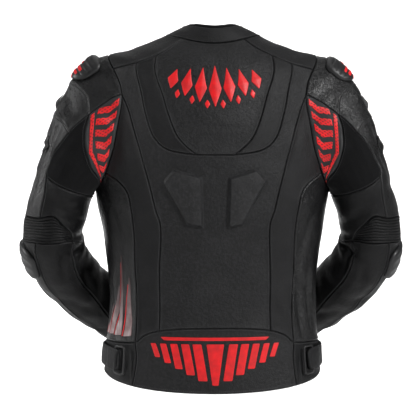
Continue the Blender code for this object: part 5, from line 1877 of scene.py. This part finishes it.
@dataclass
class Prints:
    """Printed and inlaid decoration: geometric, in the red and silver of the rest.

    Attributes:
        finishes: the materials.
        lift: height of the print's underside over the panel.
        thickness: its thickness.
    """

    finishes: Finishes
    lift: float = 0.00030
    thickness: float = 0.00040

    def lay(self, name: str, sheet: ClothSheet, outlines: list, side: Side, material: Material,
            puff: float = 0.0, reach: float = 0.004, cell: float = 0.0030) -> None:
        """Makes one piece of print out of several outlines.

        Args:
            name: the piece's name.
            sheet: the sheet it is on.
            outlines: its closed outlines.
            side: the side it is on.
            material: its finish.
            puff: how far its facets rise over the rest.
            reach: distance from the edge within which they rise.
            cell: spacing of its points.
        """
        def height(points: Array, edge: Array) -> Array:
            """A soft edge and a straight facet."""
            return self.thickness * (0.4 + 0.6 * rising(edge / 0.0007)) + puff * np.clip(edge / reach, 0, 1)

        pieces = [capped(f"{name}_{k}", sheet, outline, side, material, height, self.lift, cell,
                         (0.0004, 0.0009, 0.0020)) for k, outline in enumerate(outlines)]
        attach(merged(name, pieces))

    def upper_back(self) -> None:
        """Seven upright studded diamonds, tallest in the middle, with a small one under each gap."""
        rows = []
        for k in range(-3, 4):
            middle, v = 8.4 * k, 0.117 - 0.002 * abs(k)
            tall, wide = 0.055 - 0.0095 * abs(k), 3.8 - 0.2 * abs(k)
            rows.append([(middle, v - tall), (middle + wide, v), (middle, v + tall * 0.85),
                         (middle - wide, v)])
        for k in (-2.5, -1.5, -0.5, 0.5, 1.5, 2.5):
            middle, v = 8.4 * k, 0.160 - 0.0075 * abs(k)
            rows.append([(middle, v - 0.012), (middle + 1.5, v), (middle, v + 0.012), (middle - 1.5, v)])
        self.lay("upper_back_print", TRUNK, polygon_on(TRUNK, *rows), Side.RIGHT, self.finishes.red,
                 puff=0.0016, reach=0.0090)

    def lower_back(self) -> None:
        """Slanted bars that shorten away from a wedge in the middle, under a long thin bar."""
        rows = [[(-4.2, 0.606), (4.2, 0.606), (1.4, 0.655), (-1.4, 0.655)],
                [(-27.5, 0.5965), (27.5, 0.5965), (25.5, 0.6012), (-25.5, 0.6012)]]
        for sign in (-1, 1):
            for k in range(5):
                start, wide, end = 6.6 + 5.9 * k, 4.3 - 0.3 * k, 0.650 - 0.0065 * k
                foot = start - 3.0
                corners = [(start, 0.606), (start + wide, 0.606), (foot + wide, end), (foot, end)]
                rows.append([(sign * u, v) for u, v in corners])
        self.lay("lower_back_print", TRUNK, polygon_on(TRUNK, *rows), Side.RIGHT, self.finishes.red)

    def rear_accent(self, side: Side) -> None:
        """A long red blade down the panel behind each arm, and graduated chevrons beside it.

        A place on the panel is a share of the way down both long edges and a share across between them.

        Args:
            side: the side it is on.
        """
        share = np.linspace(0, 1, 80)
        outer, inner = (spread(SLEEVE, line, len(share)) for line in (ACCENT_EDGE, SLEEVE_BACK[::-1]))

        def at(down: float, over: float) -> Array:
            """The place at these shares down and across."""
            return (1 - over) * read_line(down, share, outer) + over * read_line(down, share, inner)

        rows = [[at(0.05, 0.07), at(0.05, 0.20), at(0.50, 0.21), at(0.93, 0.35), at(0.93, 0.20),
                 at(0.50, 0.09)]]
        for k in range(6):
            top, left, right = 0.030 + 0.128 * k, 0.31 + 0.012 * k, 0.93 - 0.02 * k
            middle, thick_share = (left + right) / 2 + 0.06, 0.074
            rows.append([at(top, left), at(top + 0.055, middle), at(top, right),
                         at(top + thick_share, right), at(top + 0.055 + thick_share, middle),
                         at(top + thick_share, left)])
        self.lay(f"rear_accent_print_{side.suffix}", SLEEVE, polygon_on(SLEEVE, *rows), side,
                 self.finishes.red_mesh, cell=0.0026)

    def flank(self) -> None:
        """Slender blades that rise from the waistband on the left side, with a red line beside each."""
        blades, lines = [], []
        for foot, wide, tip, top in ((47.5, 7.5, 49.0, 0.500), (57.0, 8.5, 55.5, 0.462),
                                     (67.5, 8.0, 62.0, 0.515), (78.0, 7.0, 70.0, 0.548)):
            blades.append([(foot, 0.598), (foot + wide, 0.600), (tip + 1.2, top), (tip, top)])
            lines.append([(foot + wide + 0.7, 0.600), (foot + wide + 1.5, 0.600), (tip + 2.2, top + 0.012),
                          (tip + 1.8, top + 0.012)])
        self.lay("flank_print", TRUNK, polygon_on(TRUNK, *blades), Side.LEFT, self.finishes.silver)
        self.lay("flank_lines", TRUNK, [polygon(TRUNK, row, 0.0004, 0.0020) for row in lines], Side.LEFT,
                 self.finishes.red)

    def build(self) -> None:
        """Makes all the decoration."""
        self.upper_back()
        self.lower_back()
        for side in BOTH:
            self.rear_accent(side)
        self.flank()


@dataclass
class Trims:
    """Hip straps with their loops, piping, and small raised tabs on the sleeves.

    Attributes:
        finishes: the materials.
        strap: centre, half extents and squareness of a hip strap.
        strap_seat: air under it.
        strap_stitch: distance of its stitches from its edge.
        loop_centre: middle of the loop that it is folded over.
        loop_half: half the loop's extents.
        ring_lift: height of the middle of the loop's ring over the trunk.
        ring_radius: half the width of the ring.
        bar_lift: height of the middle of the loop's bar.
        bar_radius: half the width of the bar.
        piping_radius: half the width of the piping.
        piping_sink: how far its middle lies below the leather.
        tab_lift: height of a sleeve tab's free end over its sewn end.
        tab_corners: corners of each sleeve tab, from its sewn end.
    """

    finishes: Finishes
    strap: tuple = ((89.2, 0.6340), (34.3, 0.0165), 7.0)
    strap_seat: float = 0.0003
    strap_stitch: float = 0.0034
    loop_centre: tuple = (55.6, 0.6340)
    loop_half: tuple = (4.8, 0.0188)
    ring_lift: float = 0.0060
    ring_radius: float = 0.0019
    bar_lift: float = 0.0064
    bar_radius: float = 0.0021
    piping_radius: float = 0.0013
    piping_sink: float = 0.0002
    tab_lift: float = 0.0040
    tab_corners: tuple = (("low", ((60, -0.070), (82, -0.086), (86, -0.072), (64, -0.054))),
                          ("high", ((84, -0.158), (106, -0.140), (103, -0.126), (82, -0.142))))

    def strap_height(self, points: Array, edge: Array | float) -> Array:
        """Two layers of leather, four where it is folded over the loop, drawn in along the stitches.

        Args:
            points: angles and distances.
            edge: their distances from the strap's edge.

        Returns:
            The height at each point over the underside.
        """
        drawn = 0.0005 * np.exp(-((edge - 0.0032) / 0.0012)**2)
        angle = points[..., 0]
        raised = 0.0012 * rising((72.0 - angle) / 3.0) + 0.0018 * rising((112.0 - angle) / 14.0)
        return LEATHER + 0.0026 * round_edge(edge, 0.0022) - drawn + raised

    def build(self, sewing: dict[str, Stitching]) -> None:
        """Makes the trims, and adds the straps' stitches to the sewing.

        Args:
            sewing: the rows of stitches, by the names of their pieces.
        """
        strap = rounded(TRUNK, *self.strap, 0.0030)
        frame = rounded(TRUNK, self.loop_centre, self.loop_half, 6.0, 0.0016)
        (angle, along), (wide, tall) = self.loop_centre, self.loop_half
        bar = np.stack([np.full(24, angle - wide), along + np.linspace(-tall, tall, 24)], axis=1)
        for side in BOTH:
            node = f"hip_strap_{side.suffix}"
            piece = capped(node + "_leather", TRUNK, strap, side, self.finishes.leather, self.strap_height,
                           self.strap_seat, 0.0045, (0.0005, 0.0011, 0.0018, 0.0026, 0.0034, 0.0046))
            attach(piece, node)
            sewing[f"sewing_trunk_{side.suffix}"].add(
                TRUNK, inset(TRUNK, strap, self.strap_stitch)[:-1], side, 0.0,
                relief=lambda at: self.strap_height(at, self.strap_stitch) + self.strap_seat)
            flat, area = cut_size(TRUNK, strap)
            node = f"strap_loop_{side.suffix}"
            parts = [self.rod("ring", frame, side, self.ring_lift, self.ring_radius, True),
                     self.rod("bar", bar, side, self.bar_lift, self.bar_radius, False)]
            attach(merged(node + "_frame", parts), node)
            self.piping(side)
            self.tabs(side)

    def rod(self, name: str, line: Array, side: Side, lift: float, radius: float,
            closed: bool) -> Piece:
        """A moulded rod of the strap's loop.

        Args:
            name: its name.
            line: angle and distance along it on the trunk.
            side: the side it is on.
            lift: height of its middle over the bare trunk.
            radius: half its width.
            closed: whether its end meets its start.

        Returns:
            The rod.
        """
        out = TRUNK.bare_normal(line)
        return tube(name, (TRUNK.bare(line) + out * lift) * side.flip, out * side.flip, radius,
                    self.finishes.plastic, sides=12, flat=0.7, closed=closed)

    def piping(self, side: Side) -> None:
        """Thin glossy cords in the two seams across the outside of a sleeve.

        Args:
            side: the sleeve's side.
        """
        for name, line in (("head_piping", HEAD_EDGE), ("sleeve_piping", OUTER_JOINT)):
            fine = read_line(np.linspace(0, len(line) - 1, 4 * len(line)), np.arange(len(line)), line)
            place, out = SLEEVE.frame(fine, side)
            place = (place - out * self.piping_sink) * side.flip
            attach(tube(f"{name}_{side.suffix}", place, out * side.flip, self.piping_radius,
                        self.finishes.piping))

    def tabs(self, side: Side) -> None:
        """Two small tabs on the outside of a sleeve, sewn down at one end and standing off at the other.

        Args:
            side: the sleeve's side.
        """
        for place, corners in self.tab_corners:
            outline = polygon(SLEEVE, list(corners), 0.0035, 0.0022)
            foot = np.array(corners[0], dtype=float)
            metric = SLEEVE.metric(foot[None])[0]
            run = unit((np.array(corners[3]) - foot) * metric)

            def lifted(points: Array, foot: Array = foot, metric: Array = metric,
                       run: Array = run) -> Array:
                """Height of the underside, which rises away from the sewn end."""
                return 0.0003 + self.tab_lift * rising(((points - foot) * metric) @ run / 0.017)

            piece = capped(f"sleeve_tab_{place}_{side.suffix}", SLEEVE, outline, side, self.finishes.shiny,
                           lambda points, edge: 0.0009 + 0.0009 * round_edge(edge, 0.001), lifted, 0.0026,
                           (0.0004, 0.0009, 0.0018))
            flat, area = cut_size(SLEEVE, outline)
            attach(piece)


@dataclass
class FrontZip:
    """The front zip: two tapes, interlocked teeth, slider and pull tab.

    Attributes:
        finishes: the materials.
        pitch: distance between teeth along the chain.
        tooth: half its extents across and along the chain.
        tooth_rings: height and size of each of its sections, from its foot up.
        tooth_lift: height of its middle over the bare trunk.
        slider_at: the slider's place below the neck seam.
        axis: the tab's pivot from the slider's middle, down and out.
        profile: the pull tab's outline, across and down from its pivot.
    """

    finishes: Finishes
    pitch: float = 0.0019
    tooth: tuple = (0.0016, 0.0006)
    tooth_rings: tuple = ((-0.0008, 1.0), (0.0006, 1.0), (0.0010, 0.7))
    tooth_lift: float = 0.0007
    slider_at: float = 0.026
    axis: tuple = (-0.0040, 0.0050)
    profile: tuple = (
        (-0.0026, 0.0), (0.0026, 0.0), (0.0026, 0.0115), (0.0042, 0.0140), (0.0042, 0.0255),
        (0.0030, 0.0283), (-0.0030, 0.0283), (-0.0042, 0.0255), (-0.0042, 0.0140), (-0.0026, 0.0115))

    def frame(self, along: Array | float) -> tuple[Array, Array, Array]:
        """Place, downward and outward direction at distances down the middle of the front.

        Args:
            along: distances down from the neck seam.

        Returns:
            A place and both directions for each distance.
        """
        at = np.stack([np.full_like(along, 180.0), along], axis=-1)
        place, out = TRUNK.bare(at), TRUNK.bare_normal(at)
        return place, np.cross(out, ACROSS), out

    def tape(self) -> None:
        """The strip of cloth on each side of the teeth, in one piece."""
        other_front, other_band = FULL_TURN + mirror(FRONT_EDGE), FULL_TURN + mirror(BAND_EDGE)
        top = seam(TRUNK, [FRONT_EDGE[0], other_front[0]])
        bottom = seam(TRUNK, [BAND_EDGE[-1], other_band[-1]])
        Panel("front_zip", TRUNK, loop(top, FRONT_EDGE, BAND_EDGE, bottom, other_band, other_front),
              self.finishes.tape, "zip", paired=False).build()

    def teeth(self) -> None:
        """Bevelled blocks in two rows, half a pitch apart; above the slider the rows draw apart."""
        along = np.arange(0.003, HEM - 0.003, self.pitch)
        wide, tall = self.tooth
        block = np.array([(x * wide * size, y * tall * size, level) for level, size in self.tooth_rings
                          for x, y in ((-1, -1), (1, -1), (1, 1), (-1, 1))])
        ring = np.arange(len(block)).reshape(-1, 4)
        after = np.roll(ring, -1, axis=1)
        quads = np.concatenate([np.stack([ring[:-1], after[:-1], after[1:], ring[1:]], -1).reshape(-1, 4),
                                [ring[0][::-1], ring[-1]]])
        points = []
        for sign, shift in ((1, 0.0), (-1, self.pitch / 2)):
            v = along + shift
            apart = 0.0009 + 0.0024 * np.clip((self.slider_at - v) / self.slider_at, 0, 1)
            place, down, out = self.frame(v)
            middle = place + ACROSS * (sign * apart)[:, None] + out * self.tooth_lift
            points.append(middle[:, None] + block[None, :, :1] * ACROSS
                          + block[None, :, 1:2] * down[:, None] + block[None, :, 2:] * out[:, None])
        points = np.concatenate(points)
        faces = (quads[None] + len(block) * np.arange(len(points))[:, None, None]).reshape(-1, 4)
        attach(make_object("zip_teeth", points.reshape(-1, 3), faces, self.finishes.metal))

    def plate(self, name: str, outline: Array, low: float, high: float, bevel: float) -> Piece:
        """A flat plate at the slider: an outline raised between two heights, bevelled above and below.

        Args:
            name: its name.
            outline: its outline, across and down from the slider's middle.
            low: height of its underside.
            high: height of its top.
            bevel: width of its bevels.

        Returns:
            The plate.
        """
        place, down, out = self.frame(self.slider_at)
        inner = outline - unit(outline - outline.mean(axis=0)) * bevel
        rings = [(inner, low), (outline, low + bevel), (outline, high - bevel), (inner, high)]
        points = np.concatenate([place + ring[:, :1] * ACROSS + ring[:, 1:] * down + level * out
                                 for ring, level in rings])
        count = len(outline)
        index = np.arange(4 * count).reshape(4, count)
        after = np.roll(index, -1, axis=1)
        quads = np.stack([index[:-1], after[:-1], after[1:], index[1:]], axis=-1).reshape(-1, 4).tolist()
        piece = make_object(name, points, quads + [index[0][::-1].tolist(), index[3].tolist()],
                            self.finishes.metal)
        piece.data.set_sharp_from_angle(angle=math.radians(40))
        return piece

    def slider(self) -> None:
        """Slider body with its bridge, and the pull tab on its own pivot."""
        turn = np.linspace(0, 2 * math.pi, 32, endpoint=False)
        body = np.stack([0.0048 * np.cos(turn) * (1 - 0.18 * np.sin(turn)), 0.0074 * np.sin(turn)], axis=1)
        plates = [self.plate("plate", outline, *heights) for outline, heights in (
            (body, (0.0009, 0.0021, 0.0003)), (body * 0.96, (0.0030, 0.0044, 0.0004)),
            (body * [0.3, 0.9], (0.0019, 0.0032, 0.0001)))]
        place, down, out = self.frame(self.slider_at)
        t = np.linspace(0, math.pi, 20)[:, None]
        arch = place + down * (-0.0066 + 0.0066 * (1 - np.cos(t))) + out * (0.0042 + 0.0022 * np.sin(t))
        bridge = tube("bridge", arch, np.tile(ACROSS, (20, 1)), 0.0008, self.finishes.metal)
        attach(merged("zip_slider_body", [*plates, bridge]), "zip_slider")
        start, level = self.axis
        tab = self.plate("tab", np.array(self.profile) + [0, start], level - 0.0008, level + 0.0008, 0.0003)
        pin = place + ACROSS * np.linspace(-0.0029, 0.0029, 6)[:, None] + down * start + out * level
        rod = tube("pin", pin, np.tile(out, (6, 1)), 0.0010, self.finishes.metal)
        attach(merged("zip_pull_tab", [tab, rod]), "zip_pull", "pull_tab")

    def build(self) -> None:
        """Makes the zip."""
        self.tape()
        self.teeth()
        self.slider()


def sew(finishes: Finishes, sewing: dict[str, Stitching]) -> None:
    """Adds the rows of stitches beside the seams, and makes them.

    Args:
        finishes: the materials.
        sewing: the rows gathered so far, by the names of their pieces.
    """
    both, one, other = (STITCH_INSET, -STITCH_INSET), (STITCH_INSET,), (-STITCH_INSET,)
    hem, beside_zip = (-HEM_INSET,), (ZIP_INSET,)
    trunk = [(YOKE_NECK, both), (YOKE_STRIP, both), (YOKE_SHOULDER, both), (FRONT_YOKE, one),
             (OUTER_U, both), (INNER_U, one), (U_BOTTOM, both), (PRINCESS, both), (SIDE_SEAM, both),
             (FRONT_SEAM, one),
             (BAND_BACK, both), (BAND_SIDE, both), (BAND_FLANK, one), (BAND_FRONT, one), (LUMBAR_EDGE, one),
             (HEM_BACK, hem), (HEM_SIDE, hem), (FRONT_EDGE, beside_zip), (BAND_EDGE, beside_zip),
             (HOLE_BLADE, one), (HOLE_BACK, one), (HOLE_TOP, one)]
    sleeve = [(HEAD_EDGE, one), (HEAD_EDGE_FRONT, one), (ACCENT_TOP, one), (ACCENT_EDGE, other),
              (OUTER_SEAM_TOP, both), (OUTER_SEAM_MID, both), (OUTER_SEAM_LOW, both), (STRETCH_LOW, one),
              (OUTER_JOINT, one), (FRONT_LINE_TOP, both), (FRONT_LINE_LOW, both), (INNER_LINE_TOP, one),
              (INNER_LINE_LOW, one), (RIB_TOP[0], other), (RIB_TOP[1], other), (RIB_END, one),
              (RIB_SIDE, one),
              (ELBOW_INNER, one), (RIB_LOW_BACK, one), (RIB_LOW_OUTER, one), (ELBOW_OUTER, one),
              (ELBOW_FRONT, one), (FOREARM_SEAM, both), (FOREARM_INNER, both), (FOREARM_FRONT, both),
              (CUFF_BACK, both), (CUFF_OUTER, both), (CUFF_INNER, both), (CUFF_HEM, hem)]
    for side in BOTH:
        for part, sheet, rows in (("trunk", TRUNK, trunk), ("sleeve", SLEEVE, sleeve)):
            row = sewing[f"sewing_{part}_{side.suffix}"]
            for line, offsets in rows:
                for offset in offsets:
                    row.add(sheet, line, side, offset)
    collar = sewing["sewing_collar"]
    collar.add(COLLAR, COLLAR_TOP, Side.RIGHT, STITCH_INSET)
    neck = np.concatenate([NECK_BACK, NECK_SIDE[1:], NECK_FRONT[1:]])
    collar.add(COLLAR, neck, Side.RIGHT, -STITCH_INSET)
    for stitching in sewing.values():
        stitching.build(finishes.thread)


# ---------------- studio
def light(name: str, place: tuple, aim: tuple, size: tuple, power: float) -> Piece:
    """A soft box aimed at a point.

    Args:
        name: its name.
        place: where it stands.
        aim: the point it shines at.
        size: its width and height.
        power: its power in watts.

    Returns:
        The lamp.
    """
    data = bpy.data.lights.new(name, "AREA")
    data.shape, data.size, data.size_y, data.energy = "RECTANGLE", size[0], size[1], power
    lamp = bpy.data.objects.new(name, data)
    bpy.context.scene.collection.objects.link(lamp)
    lamp.location = place
    lamp.rotation_euler = (Vector(aim) - Vector(place)).to_track_quat("-Z", "Y").to_euler()
    return lamp


@dataclass
class Studio:
    """Pale floor that curves up behind, soft boxes, even surroundings and the camera.

    Attributes:
        camera_height: height of the camera, which looks along level.
        distance: from the camera to the jacket's middle plane.
        turned: degrees that the camera is turned about the jacket, towards its left.
        pixels: focal length in pixels of a 420 pixel wide picture.
        shift: how far the picture is shifted across, in the same pixels.
        floor_height: height of the floor.
        surroundings: brightness of the room.
        middle: what the front lamps are aimed at.
        wall: what the wall lamps are aimed at.
        wall_spread: degrees over which the last lamps spread.
    """

    camera_height: float = -0.304
    distance: float = 3.2
    turned: float = 2.5
    pixels: float = 1684.0
    shift: float = -2.6
    floor_height: float = -0.93
    surroundings: float = 0.17
    middle: tuple = (0.0, 0.0, -0.30)
    wall: tuple = (0.0, 6.0, -0.5)
    wall_spread: float = 95.0

    def floor(self) -> Piece:
        """A floor with a quarter circle up to a wall behind the jacket.

        Returns:
            The floor.
        """
        g = Graph("pale_floor")
        g.link(Base_Color=g.blend(g.noise(2.0, 3.0), (0.92, 0.92, 0.92), (0.94, 0.94, 0.94)), Roughness=0.9)
        turn = np.linspace(0, math.pi / 2, 24)
        bend, far, near, wide = 1.6, 5.0, -5.0, 7.0
        curve = np.stack([far + bend * np.sin(turn), bend * (1 - np.cos(turn))], axis=1)
        profile = np.concatenate([[(near, 0.0)], curve, [(far + bend, 6.0)]])
        left = np.stack([np.full(len(profile), -wide), profile[:, 0], profile[:, 1] + self.floor_height], 1)
        count = len(profile)
        index = np.arange(count - 1)
        faces = np.stack([index, index + count, index + count + 1, index + 1], axis=1)
        return make_object("studio_floor", np.concatenate([left, left * [-1, 1, 1]]), faces, g.material)

    def build(self) -> None:
        """Sets up everything round the jacket."""
        scene = bpy.context.scene
        world = bpy.data.worlds.new("studio")
        world.use_nodes = True
        background = world.node_tree.nodes["Background"]
        background.inputs["Color"].default_value = (1.0, 1.0, 1.0, 1.0)
        background.inputs["Strength"].default_value = self.surroundings
        scene.world = world
        lamps = [light("key_box", (2.2, -2.2, 1.5), self.middle, (0.7, 1.0), 104.0),
                 light("fill_box", (-2.4, -1.9, 0.5), self.middle, (0.6, 1.8), 8.5),
                 light("top_box", (0.0, 0.1, 2.3), self.middle, (1.8, 0.9), 9.0),
                 light("edge_box", (-2.7, 0.3, 0.5), self.middle, (0.22, 1.6), 36.0),
                 light("wall_box_left", (-1.6, 3.6, 2.4), self.wall, (1.0, 1.0), 48.0),
                 light("wall_box_right", (1.6, 3.6, 2.4), self.wall, (1.0, 1.0), 48.0),
                 light("floor_box", (0.0, 3.4, 2.6), (0.0, 3.0, -0.9), (3.0, 2.2), 52.0)]
        for lamp in lamps[-3:]:
            lamp.data.spread = math.radians(self.wall_spread)
        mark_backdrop(self.floor(), *lamps)
        data = bpy.data.cameras.new("studio_camera")
        data.sensor_width, data.lens = SENSOR, self.pixels * SENSOR / PICTURE
        data.shift_x = self.shift / PICTURE
        data.clip_end = 50.0
        camera = bpy.data.objects.new("studio_camera", data)
        scene.collection.objects.link(camera)
        yaw = math.radians(self.turned)
        camera.location = (-self.distance * math.sin(yaw), -self.distance * math.cos(yaw),
                           self.camera_height)
        camera.rotation_euler = (math.pi / 2, 0.0, -yaw)
        scene.camera = camera
        scene.view_settings.view_transform = "Standard"
        LOG.info("studio: camera at %s", tuple(round(x, 3) for x in camera.location))


def corners() -> list[list[float]]:
    """The two corners of the shown object's box, as plain lists."""
    return [[round(float(x), 5) for x in corner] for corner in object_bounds()]


def main() -> None:
    """Builds the jacket and its studio."""
    logging.basicConfig(level=logging.INFO, format="%(message)s")
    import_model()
    finishes = Finishes()
    sewing = {name: Stitching(name) for name in (
        "sewing_trunk_right", "sewing_trunk_left", "sewing_sleeve_right", "sewing_sleeve_left",
        "sewing_collar")}
    Shell(finishes).build()
    Protectors(finishes).build()
    Prints(finishes).build()
    Trims(finishes).build(sewing)
    FrontZip(finishes).build()
    sew(finishes, sewing)
    Studio().build()
    bpy.context.view_layer.update()


if __name__ == "__main__":
    main()
